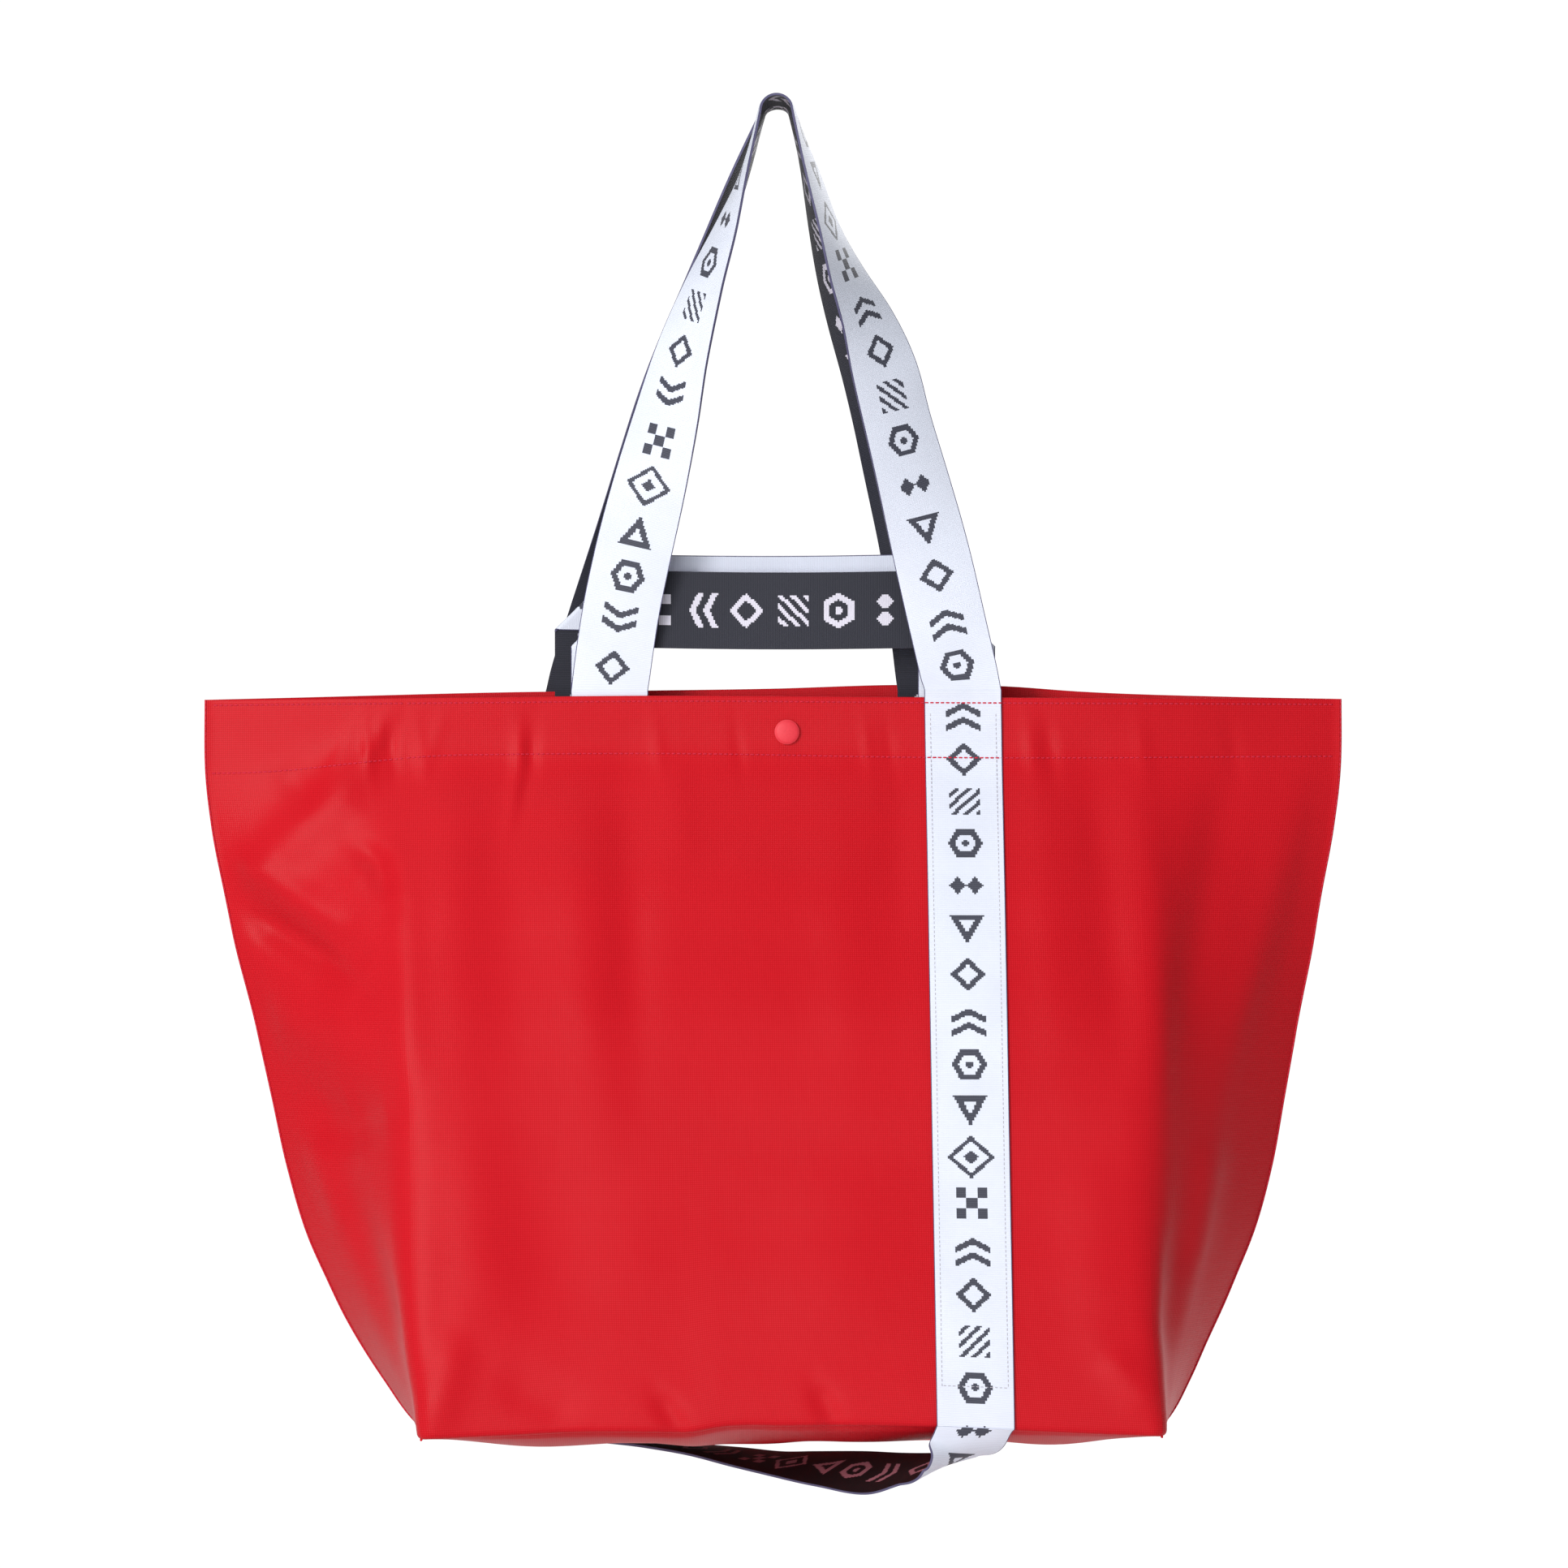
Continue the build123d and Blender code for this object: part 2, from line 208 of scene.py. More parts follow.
def lengthAlong(points):
    # distance travelled along the line of points, up to each one
    return np.concatenate([[0], np.cumsum(np.linalg.norm(np.diff(points, axis=0), axis=1))])


def lookUp(table, stepArc, stepDrop, arc, drop):
    # value between a table's four nearest entries, weighted by nearness
    col = np.clip(np.abs(arc) / stepArc, 0, table.shape[1] - 1.001)
    row = np.clip(drop / stepDrop, 0, table.shape[0] - 1.001)
    i, j = row.astype(int), col.astype(int)
    s, t = row - i, col - j
    near = table[i, j] * (1 - t) + table[i, j + 1] * t
    far = table[i + 1, j] * (1 - t) + table[i + 1, j + 1] * t
    return near * (1 - s) + far * s


# Meshes
def addMesh(name, points, faces, sharpAngle=None):
    # points in millimetres; edges that turn by more than the angle in degrees stay sharp
    mesh = bpy.data.meshes.new(name)
    mesh.from_pydata(points * mm, [], faces)
    mesh.shade_smooth()
    if sharpAngle:
        mesh.set_sharp_from_angle(angle=radians(sharpAngle))
    mesh.update()
    return mesh


def addObject(name, mesh, materials):
    for material in materials:
        mesh.materials.append(material)
    piece = bpy.data.objects.new(name, mesh)
    bpy.context.scene.collection.objects.link(piece)
    return piece


def solidGrid(name, outer, inner, along, across, materials, motif=None, innerIndex=1, rimIndex=0):
    # a sheet with thickness: the outer and inner grids of points, joined round their rims
    rows, cols = outer.shape[:2]
    index = np.arange(rows * cols).reshape(rows, cols)
    a, b, c, d = index[:-1, :-1], index[1:, :-1], index[1:, 1:], index[:-1, 1:]
    faces = np.stack([a, b, c, d], -1).reshape(-1, 4)
    down = outer[1:, :-1] - outer[:-1, :-1]
    right = outer[:-1, 1:] - outer[:-1, :-1]
    facing = np.sum(np.cross(down, right) * (outer - inner)[:-1, :-1])
    if facing < 0:
        faces = faces[:, ::-1]
    under = faces[:, ::-1] + rows * cols
    loop = np.concatenate([index[:-1, 0], index[-1, :-1], index[:0:-1, -1], index[0, :0:-1]])
    after = np.roll(loop, -1)
    rim = np.stack([after, loop, loop + rows * cols, after + rows * cols], -1)
    if facing < 0:
        rim = rim[:, ::-1]
    allFaces = np.concatenate([faces, under, rim])
    mesh = addMesh(name, np.concatenate([outer.reshape(-1, 3), inner.reshape(-1, 3)]), allFaces, 50)
    uv = np.stack([np.broadcast_to(across, (rows, cols)), np.broadcast_to(along, (rows, cols))], -1)
    uv = np.concatenate([uv.reshape(-1, 2)] * 2)
    layer = mesh.uv_layers.new(name="weave")
    layer.data.foreach_set("uv", uv[allFaces.ravel()].ravel().astype(np.float32))
    slots = np.zeros(len(allFaces), np.int32)
    slots[len(faces) : 2 * len(faces)] = innerIndex
    slots[2 * len(faces) :] = rimIndex
    mesh.polygons.foreach_set("material_index", slots)
    if motif is not None:
        woven = np.concatenate([motif.ravel(), motif.ravel(), np.zeros(len(rim))])
        mesh.attributes.new("motif", "FLOAT", "FACE").data.foreach_set("value", woven.astype(np.float32))
    return addObject(name, mesh, materials)


def stitchRun(name, points, normals, material, pitch=3.4, length=2.5, radius=0.45):
    # one small tapered bead for each stitch, laid end to end along the line with a gap between
    travelled = lengthAlong(points)
    places = np.arange(pitch / 2, travelled[-1], pitch)

    def at(values, where):
        return np.stack([np.interp(where, travelled, values[:, k]) for k in range(3)], -1)

    middle = at(points, places)
    run = unit(at(points, places + 0.5) - at(points, places - 0.5))
    rise = unit(at(normals, places))
    side = unit(np.cross(run, rise))
    rings = np.array([-0.5, -0.32, 0.32, 0.5]) * length
    swell = np.array([0.35, 1, 1, 0.35]) * radius
    turn = np.arange(6) * pi / 3
    outline = np.outer(swell, np.cos(turn)).ravel(), np.outer(swell, np.sin(turn)).ravel()
    template = np.stack([np.repeat(rings, 6), *outline], -1)
    axes = np.stack([run, side, rise], 1)
    verts = middle[:, None] + template @ axes
    i, j = np.meshgrid(np.arange(3), np.arange(6), indexing="ij")
    ahead = (j + 1) % 6
    quads = np.stack([i * 6 + j, i * 6 + ahead, (i + 1) * 6 + ahead, (i + 1) * 6 + j], -1).reshape(-1, 4)
    caps = np.array([[5, 4, 1, 0], [4, 3, 2, 1], [18, 19, 22, 23], [19, 20, 21, 22]])
    single = np.concatenate([quads[:, ::-1], caps[:, ::-1]])
    faces = (single[None] + (np.arange(len(places)) * 24)[:, None, None]).reshape(-1, 4)
    return addObject(name, addMesh(name, verts.reshape(-1, 3), faces), [material])


def lathe(name, origin, axis, profile, material, segments=48):
    # the profile of radius and height, turned once round the axis; its ends lie on the axis
    axis = Vector(axis).normalized()
    first = axis.orthogonal().normalized()
    second = axis.cross(first)
    frameAxes = np.array([first, second, axis])
    radius, height = np.array(profile, float).T
    turn = np.arange(segments) * 2 * pi / segments
    outline = np.outer(radius[1:-1], np.cos(turn)), np.outer(radius[1:-1], np.sin(turn))
    ring = np.stack([*outline, np.repeat(height[1:-1, None], segments, 1)], -1)
    rows = len(radius) - 2
    verts = np.concatenate([ring.reshape(-1, 3), [[0, 0, height[0]], [0, 0, height[-1]]]])
    verts = np.array(origin) + verts @ frameAxes
    i, j = np.meshgrid(np.arange(rows - 1), np.arange(segments), indexing="ij")
    ahead = (j + 1) % segments
    quads = np.stack([i, i, i + 1, i + 1], -1) * segments + np.stack([j, ahead, ahead, j], -1)
    faces = quads.reshape(-1, 4).tolist()
    low, high, last = rows * segments, rows * segments + 1, (rows - 1) * segments
    faces += [[low, (k + 1) % segments, k] for k in range(segments)]
    faces += [[high, last + k, last + (k + 1) % segments] for k in range(segments)]
    return addObject(name, addMesh(name, verts, faces, 40), [material])


# Materials
def makeClothMaterial(name, look):
    # plain weave seen as slanting rows of small raised dots, with paler pink painted on their tops as
    # highlights
    material, tree, shader = startMaterial(name)
    across, along = weavePlace(tree)
    turn = 2 * pi / look["weavePitch"]
    slants = [compute(tree, operation, across, along) for operation in ("ADD", "SUBTRACT")]
    rising, falling = [compute(tree, "SINE", compute(tree, "MULTIPLY", slant, turn)) for slant in slants]
    weave = compute(tree, "MULTIPLY_ADD", compute(tree, "MULTIPLY", rising, falling), 0.5, 0.5)
    cloud = noise(tree, 7.0, 3.0, 0.55)
    crumple = noise(tree, 26.0, 4.0, 0.6)
    ground = mixColour(tree, cloud, look["dark"], look["light"])
    dots = compute(tree, "MULTIPLY", compute(tree, "POWER", weave, 2.0), look["dotShare"])
    crumpled = compute(tree, "MULTIPLY", crumple, look["crumpleRelief"])
    relief = compute(tree, "MULTIPLY_ADD", weave, look["weaveRelief"], crumpled)
    feed(tree, shader, {
        "Base Color": mixColour(tree, dots, ground, look["dot"]),
        "Roughness": mapRange(tree, cloud, 0.3, 0.7, look["rough"] - 0.05, look["rough"] + 0.06),
        "Normal": bump(tree, relief, 1.0, 1.0),
        "Specular IOR Level": look["specular"],
    })
    return material


clothLook = {
    "weavePitch": 2.8,
    "dark": (0.47, 0.0035, 0.008, 1),
    "light": (0.55, 0.0055, 0.012, 1),
    # painted highlight: the paler pink on the weave's raised dots, and how much of them it covers
    "dot": (0.78, 0.03, 0.05, 1),
    "dotShare": 0.45,
    "rough": 0.38,
    "weaveRelief": 0.09,
    "crumpleRelief": 0.5,
    "specular": 0.09,
}
# the cloth's inside face: rougher, as the uncoated side, with its colour darkened by about half as painted
# shade inside the bag
liningPaintedShadeLook = dict(clothLook, dark=(0.24, 0.0015, 0.003, 1), light=(0.30, 0.002, 0.005, 1), rough=0.6)
clothRed = makeClothMaterial("coatedRedNylon", clothLook)
clothLiningPaintedShade = makeClothMaterial("uncoatedRedNylonPaintedShade", liningPaintedShadeLook)


def makeWebbingMaterial(name, look):
    # crosswise ribs, with the woven motifs taken from the face attribute
    material, tree, shader = startMaterial(name)
    across, along = weavePlace(tree)
    rib = compute(tree, "SINE", compute(tree, "MULTIPLY", along, 2 * pi / look["ribPitch"]))
    warp = compute(tree, "SINE", compute(tree, "MULTIPLY", across, 2 * pi / look["warpPitch"]))
    ribShare = compute(tree, "MULTIPLY_ADD", rib, 0.5, 0.5)
    woven = addNode(tree, "ShaderNodeAttribute", {}, attribute_name="motif").outputs["Fac"]
    ground = mixColour(tree, ribShare, look["groundDark"], look["ground"])
    figure = mixColour(tree, ribShare, look["motif"], look["motifLight"])
    colour = mixColour(tree, woven, ground, figure)
    shade = mapRange(tree, noise(tree, 22.0, 3.0), 0.3, 0.7, 0.95, 1.03)
    tinted = mixColour(tree, 1.0, colour, shade, blend_type="MULTIPLY")
    edge = compute(tree, "GREATER_THAN", compute(tree, "ABSOLUTE", across), look["selvedge"])
    feed(tree, shader, {
        "Base Color": mixColour(tree, edge, tinted, look["edge"]),
        "Roughness": look["rough"],
        "Normal": bump(tree, compute(tree, "MULTIPLY_ADD", warp, 0.25, rib), 0.6, 0.06),
        "Specular IOR Level": 0.35,
        "Sheen Weight": look["sheen"],
        "Sheen Roughness": 0.4,
    })
    return material


webbingLook = {
    "ribPitch": 0.95,
    "warpPitch": 1.5,
    "groundDark": (0.70, 0.74, 0.86, 1),
    "ground": (0.80, 0.85, 0.98, 1),
    "motif": (0.030, 0.033, 0.055, 1),
    "motifLight": (0.085, 0.09, 0.12, 1),
    "edge": (0.09, 0.085, 0.17, 1),
    "selvedge": 24.5,
    "rough": 0.62,
    "sheen": 0.12,
}
reverseLook = dict(
    webbingLook,
    groundDark=(0.008, 0.009, 0.017, 1),
    ground=(0.030, 0.032, 0.050, 1),
    motif=(0.60, 0.58, 0.68, 1),
    motifLight=(0.80, 0.78, 0.90, 1),
    edge=(0.02, 0.02, 0.035, 1),
    sheen=0.06,
)
webbingFace = makeWebbingMaterial("webbingLightFace", webbingLook)
webbingReverse = makeWebbingMaterial("webbingDarkReverse", reverseLook)
# the dark reverse again for the strap under the base, with painted shade: a darker ground, and motifs tinted
# pink as a painted reflection of the red cloth
shadedLook = dict(
    reverseLook,
    groundDark=(0.004, 0.003, 0.004, 1),
    ground=(0.012, 0.008, 0.010, 1),
    motif=(0.30, 0.12, 0.15, 1),
    motifLight=(0.46, 0.20, 0.25, 1),
    sheen=0.0,
)
webbingShaded = makeWebbingMaterial("webbingShadedReverse", shadedLook)


def makeThreadMaterial(name, colour):
    # the twist of the thread is a fine diagonal wave
    material, tree, shader = startMaterial(name)
    place = addNode(tree, "ShaderNodeTexCoord", {}).outputs["Object"]
    wave = {"Vector": place, "Scale": 900.0, "Distortion": 0.5}
    ply = addNode(tree, "ShaderNodeTexWave", wave, bands_direction="DIAGONAL").outputs[1]
    dark = tuple(channel * 0.6 for channel in colour[:3]) + (1,)
    feed(tree, shader, {
        "Base Color": mixColour(tree, ply, dark, colour),
        "Roughness": 0.55,
        "Normal": bump(tree, ply, 0.5, 0.1),
        "Specular IOR Level": 0.1,
    })
    return material


redThread = makeThreadMaterial("redThread", (0.80, 0.035, 0.075, 1))
paleThread = makeThreadMaterial("paleThread", (0.62, 0.61, 0.68, 1))


def makeCapMaterial():
    material, tree, shader = startMaterial("capPaint")
    speckle = noise(tree, 900.0, 2.0)
    feed(tree, shader, {
        "Base Color": mixColour(tree, speckle, (0.68, 0.016, 0.032, 1), (0.80, 0.027, 0.052, 1)),
        "Roughness": 0.52,
        "Normal": bump(tree, speckle, 0.3, 0.05),
        "Sheen Weight": 0.15,
    })
    return material


def makeSteelMaterial():
    material, tree, shader = startMaterial("platedSteel")
    wear = noise(tree, 420.0, 4.0)
    feed(tree, shader, {
        "Base Color": mixColour(tree, wear, (0.46, 0.45, 0.43, 1), (0.66, 0.65, 0.62, 1)),
        "Roughness": mapRange(tree, wear, 0.3, 0.7, 0.18, 0.38),
        "Metallic": 1.0,
    })
    return material


capPaint = makeCapMaterial()
platedSteel = makeSteelMaterial()


def makeStageMaterial():
    material, tree, shader = startMaterial("paleStudioFloor")
    colour = mixColour(tree, noise(tree, 3.0, 2.0), (0.90, 0.90, 0.90, 1), (0.93, 0.93, 0.93, 1))
    feed(tree, shader, {"Base Color": colour, "Roughness": 0.9, "Specular IOR Level": 0.1})
    return material


def makeStage(setup):
    # a thin pale slab under the bag
    place = np.linspace(-setup["halfWide"], setup["halfWide"], 9)
    x, y = np.meshgrid(place, place)
    outer = np.stack([x, y, np.full_like(x, setup["floor"])], -1) / mm
    inner = outer - np.array([0, 0, setup["thick"] / mm])
    floor = solidGrid("studioFloor", outer, inner, y[:, :1], place[None], [makeStageMaterial()], innerIndex=0)


makeStage(stageSetup)
print("stage and materials made")

# Press fastener, which the folds leave flat cloth for
snap = {"x": 9.0, "drop": 21.0, "radius": 8.0, "height": 2.2, "shankRadius": 1.7, "shankLength": 3.6}

# The bag's shape
shape = {
    # distance below the mouth, then the depth of the front or back there
    "depth": ([0, 40, 80, 120, 180, 240, 480], [23.4, 24.0, 42, 61, 79, 92, 132]),
    # and half the bag's width, from seam to seam, which sets the shape lower down
    "halfWidth": ([0, 210, 258, 305, 353, 377, 400, 424, 448, 472, 480],
                  [370, 338.4, 328.8, 319.4, 305.6, 295.6, 285.6, 273.6, 260.6, 245.5, 238.5]),
    "depthUntil": 150.0,
    "widthFrom": 215.0,
    # the middle of the bag drifts to the right towards the base
    "drift": ([0, 139, 210, 305, 377, 424, 448, 480], [0, 0.2, 2.2, 4.2, 5.2, 7.1, 9.6, 12.5]),
    # how far each side of the corner the cloth takes to turn
    "softIn": ([0, 60, 140, 260, 400, 480], [85, 70, 36, 24, 17, 10]),
    "softOut": ([0, 60, 140, 260, 400, 480], [85, 70, 36, 26, 20, 10]),
    # height of the hem's top edge above the mouth, along the front and the back
    "frontRise": ([-370, -200, -60, 100, 250, 370], [0, 1.5, 2.6, 1.6, 1.0, 0.6]),
    "backRise": ([-370, -311, -175, -80, 0, 80, 150, 200, 300, 370],
                 [0, 1.5, 5, 6.2, 7.4, 9.8, 9, 5.5, 2, 0.6]),
    # height of the front's lower edge above the base
    "edgeRise": ([-238, -180, -138, -90, -66, -44, 0, 46, 110, 180, 238],
                 [5, 7.5, 9.5, 9.6, 9.4, 13, 13.6, 13.8, 12, 9, 7]),
    # drop by which the mouth's rise has faded, and where and over what the lower edge's comes in
    "riseFades": 190, "edgeFrom": 250, "edgeOver": 230,
    "cloth": 0.9,
    "hemDepth": 40.0,
    "hemBend": 1.05,
    "edgeBend": 4.0,
}

arcStep, dropStep = 1.0, 2.0
tableArc = np.arange(0, halfGirth + arcStep, arcStep)
tableDrop = np.arange(0, bagHeight + dropStep, dropStep)


def makeSection():
    # the heading turns smoothly round the corner; x and depth are the running sums of its cosine and sine.
    # Halving finds how far it turns so that they end at the depth wanted higher up, and the width lower down
    depth = throughKnots(tableDrop, *shape["depth"])[:, None]
    width = throughKnots(tableDrop, *shape["halfWidth"])[:, None]
    softIn = throughKnots(tableDrop, *shape["softIn"])[:, None]
    softOut = throughKnots(tableDrop, *shape["softOut"])[:, None]
    turned = smooth((tableArc[None] - (halfLength - softIn)) / (softIn + softOut))

    def runningSum(values):
        steps = (values[:, 1:] + values[:, :-1]) / 2 * arcStep
        return np.concatenate([np.zeros((len(values), 1)), np.cumsum(steps, axis=1)], axis=1)

    found = []
    for wanted, wave, sense in ((depth, np.sin, 1), (width, np.cos, -1)):
        low, high = np.zeros_like(depth), np.full_like(depth, 1.75)
        for _ in range(40):
            angle = (low + high) / 2
            short = (runningSum(wave(angle * turned))[:, -1:] - wanted) * sense < 0
            low, high = np.where(short, angle, low), np.where(short, high, angle)
        found.append(angle)
    share = smooth((tableDrop - shape["depthUntil"]) / (shape["widthFrom"] - shape["depthUntil"]))[:, None]
    heading = (found[0] * (1 - share) + found[1] * share) * turned
    x = runningSum(np.cos(heading))
    y = runningSum(np.sin(heading))
    return x, y[:, -1:] - y, heading


sectionX, sectionY, sectionHeading = makeSection()

# Folds, dents and puckers: points of (arc from the middle, drop), width, height outward
frontFolds = [
    # the gathered upper left corner
    ([(-364, 122), (-318, 94), (-282, 62), (-252, 14)], 17, 6.0),
    ([(-372, 106), (-336, 114), (-304, 134), (-276, 152)], 13, 5.0),
    ([(-374, 136), (-340, 148), (-300, 172), (-276, 188)], 13, -8.5),
    ([(-296, 150), (-262, 172)], 12, -2.5),
    ([(-366, 196), (-320, 214), (-262, 216)], 22, 5.0),
    ([(-276, 92), (-258, 106), (-248, 132)], 9, -4.5),
    ([(-244, 84), (-238, 130), (-238, 280)], 12, 2.8),
    ([(-352, 262), (-300, 274), (-256, 262)], 20, -6.5),
    ([(-322, 40), (-296, 74)], 12, -2.0),
    # soft upright folds that hang from the hem
    ([(-214, 20), (-206, 120), (-206, 250)], 17, 1.6),
    ([(-182, 30), (-172, 130), (-170, 260)], 20, -1.8),
    ([(-134, 24), (-124, 120), (-116, 280)], 20, 2.2),
    ([(-98, 30), (-92, 130), (-92, 250)], 15, -2.0),
    ([(-66, 30), (-58, 120)], 13, 1.3),
    ([(36, 30), (44, 130), (50, 260)], 22, 1.7),
    ([(84, 34), (80, 150)], 14, -1.5),
    ([(166, 20), (176, 110), (184, 250)], 16, 1.6),
    ([(204, 24), (214, 120), (222, 240)], 15, -3.0),
    ([(236, 30), (246, 130), (246, 300)], 14, 2.6),
    ([(300, 20), (286, 120), (272, 240)], 18, -3.4),
    ([(344, 40), (330, 150), (306, 260)], 16, 3.0),
    # long soft swells low down
    ([(-206, 250), (-196, 340), (-188, 430)], 24, 3.0),
    ([(-150, 290), (-140, 420)], 34, -2.6),
    ([(40, 280), (30, 440)], 44, 2.4),
    ([(200, 280), (206, 430)], 24, 2.4),
    ([(276, 330), (262, 440)], 20, -4.5),
    ([(304, 270), (290, 390)], 18, 3.8),
    ([(-310, 300), (-282, 380), (-258, 450)], 22, -4.0),
    ([(-340, 280), (-316, 350)], 16, 2.6),
    # the cloth turns under towards its lower edge, with small dents
    ([(-200, 462), (-60, 470), (90, 466), (210, 460)], 26, 2.0),
    ([(-86, 452), (-68, 486)], 8, -2.8),
    ([(16, 450), (30, 486)], 8, -2.8),
    ([(-206, 404), (-222, 452), (-238, 486)], 13, 3.4),
    ([(-190, 440), (-130, 474)], 15, -2.4),
    ([(204, 420), (236, 470)], 13, 2.6),
    # fine slanting ripples in the hem
    ([(-266, 46), (-248, 4)], 4.5, 1.7),
    ([(-256, 48), (-238, 4)], 4.5, -1.6),
    ([(-288, 50), (-268, 8)], 5, 1.1),
    ([(-226, 48), (-212, 6)], 5, 1.2),
    ([(-160, 4), (-172, 92)], 4, 1.2),
    ([(-152, 4), (-162, 80)], 4, -1.2),
]
# short puckers across the hem's lower stitching: arc, width, height outward
hemPuckers = [
    (-262, 4, 1.3), (-247, 4, -1.2), (-228, 5, 1.0), (-164, 5, 0.9), (-156, 4, -0.9), (-74, 5, 0.7),
    (-22, 4, -0.7), (62, 4, 0.7), (76, 4, -0.7), (168, 5, 1.1), (180, 5, -1.2), (240, 6, 0.8), (300, 6, -0.8),
]
# the back has the same folds mirrored, a little broader and lower, without the first
backFolds = [
    ([(-x * 0.96 + 8, d * 1.02) for x, d in line], width * 1.1, height * 0.8)
    for line, width, height in frontFolds[1:]
]


folding = {
    # share of the folds' height at the mouth, and where they grow to the whole of it
    "atMouth": 0.4, "growFrom": 10, "growOver": 50,
    # the puckers' middle, their reach up and down, and their slant from the low stitches
    "puckerDrop": 34, "puckerReach": 20, "slantFrom": 38, "puckerSlant": 0.12,
    # the cloth calms down over this distance from a side seam and from the fastener
    "seamEase": 26, "snapEase": 26,
}


def foldProfile(line, width, arc, drop):
    # exp(-(distance / width) squared) from the line of straight runs, easing away towards both of its ends
    nearest = np.full(np.shape(arc), 1e9)
    travelled = np.zeros(np.shape(arc))
    total = 0.0
    for (a0, d0), (a1, d1) in zip(line, line[1:]):
        runA, runD = a1 - a0, d1 - d0
        length = sqrt(runA**2 + runD**2)
        share = np.clip(((arc - a0) * runA + (drop - d0) * runD) / length**2, 0, 1)
        away = np.hypot(arc - a0 - share * runA, drop - d0 - share * runD)
        travelled = np.where(away < nearest, total + share * length, travelled)
        nearest = np.minimum(nearest, away)
        total += length
    ends = np.minimum(travelled, total - travelled) / total
    return np.exp(-((nearest / width) ** 2)) * (0.25 + 0.75 * smooth(ends / 0.35))


def foldHeight(arc, drop, side):
    # all the folds added up, fading out at the side seams and round the fastener
    total = np.zeros(np.shape(arc))
    for line, width, height in frontFolds if side == frontSide else backFolds:
        total += height * foldProfile(line, width, arc, drop)
    mouthShare = folding["atMouth"]
    total *= mouthShare + (1 - mouthShare) * smooth((drop - folding["growFrom"]) / folding["growOver"])
    for middle, width, height in hemPuckers:
        place = middle if side == frontSide else -middle
        slanted = arc - place - (drop - folding["slantFrom"]) * folding["puckerSlant"]
        upright = (drop - folding["puckerDrop"]) / folding["puckerReach"]
        total += height * np.exp(-((slanted / width) ** 2)) * np.exp(-(upright**2))
    calm = smooth(np.hypot(arc - snap["x"], drop - snap["drop"]) / folding["snapEase"] - 0.4)
    return total * smooth((halfGirth - np.abs(arc)) / folding["seamEase"]) * calm


def clothPoint(arc, drop, side, lift=0.0, layer=0.0):
    # point on the outside of the cloth, by arc from the middle and drop; lift is outward, layer counts inward
    arc, drop = np.broadcast_arrays(np.asarray(arc, float), np.asarray(drop, float))
    x = lookUp(sectionX, arcStep, dropStep, arc, drop) * np.sign(arc)
    y = lookUp(sectionY, arcStep, dropStep, arc, drop)
    heading = lookUp(sectionHeading, arcStep, dropStep, arc, drop)
    out = foldHeight(arc, drop, side) + lift - layer
    x = x + throughKnots(drop, *shape["drift"]) + out * np.sin(heading) * np.sign(arc)
    # near a side seam, front and back keep to their own sides of the middle plane
    y = np.maximum(y + out * np.cos(heading), 1.0 - 0.4 * layer)
    top = throughKnots(arc, *shape["frontRise" if side == frontSide else "backRise"])
    edge = throughKnots(arc, *shape["edgeRise"])
    topShare = 1 - smooth(drop / shape["riseFades"])
    edgeShare = smooth((drop - shape["edgeFrom"]) / shape["edgeOver"])
    z = mouthZ - drop + top * topShare + edge * edgeShare
    return np.stack([x, side * y, z], -1)


def clothSheet(name, arcs, side, materials):
    # one length of cloth: up inside the hem, over its top edge, down the outside and round the lower edge
    bend, edgeBend, cloth = shape["hemBend"], shape["edgeBend"], shape["cloth"]
    turn = np.linspace(0, pi, 9)[1:-1]
    curl = np.linspace(0, pi / 2, 6)[1:]
    edgeDrop = bagHeight - edgeBend
    insideDrops = np.linspace(shape["hemDepth"], bend, 16)
    # close rows near the top, where the hem puckers
    outsideDrops = np.concatenate([np.linspace(bend, 46, 24)[:-1], np.linspace(46, edgeDrop, 165)])
    inside, outside = np.ones(len(insideDrops)), np.zeros(len(outsideDrops))
    turnDrops, curlDrops = np.full(len(turn), bend), np.full(len(curl), edgeDrop)
    drops = np.concatenate([insideDrops, turnDrops, outsideDrops, curlDrops])
    tucked = edgeBend * (1 - np.cos(curl))
    layers = np.concatenate([inside * 2 * bend, bend * (1 + np.cos(turn)), outside, tucked])
    lifts = np.concatenate([inside * 0, bend * np.sin(turn), outside, -edgeBend * np.sin(curl)])
    outer = clothPoint(arcs[None], drops[:, None], side, layer=layers[:, None])
    outer[..., 2] += lifts[:, None]
    down = np.gradient(outer, axis=0)
    over = np.gradient(outer, axis=1)
    normal = unit(np.cross(down, over))
    middleRow = len(insideDrops) + len(turn) + 60
    if np.mean(normal[middleRow, :, 1]) * side < 0:
        normal = -normal
    thinned = cloth * (0.15 + 0.85 * smooth((halfGirth - np.abs(arcs)) / 14))
    inner = outer - normal * thinned[None, :, None]
    inner[..., 1] = side * np.maximum(inner[..., 1] * side, 0.04)
    along = lengthAlong(outer[:, len(arcs) // 2])
    return solidGrid(name, outer, inner, along[:, None], arcs[None], materials)


# for the front's lean: a height above the base, and a distance next to the side seams
tilting = {"rise": 110.0, "seamAt": 122.0}


def gussetBend(piece, end):
    # finds a point on the front's corner, half the rise above the base, and bakes the piece's placement into
    # its mesh
    corner = clothPoint(end * halfLength, bagHeight - tilting["rise"] / 2, frontSide)[0]
    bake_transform(piece)


clothMaterials = [clothRed, clothLiningPaintedShade]
nearSeam = halfGirth - 0.5  # the sheets stop just short of the side seams
frontCloth = clothSheet("frontCloth", np.linspace(-halfLength, halfLength, 201), frontSide, clothMaterials)
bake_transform(frontCloth)
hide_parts("front_panel", "front_hem_facing")

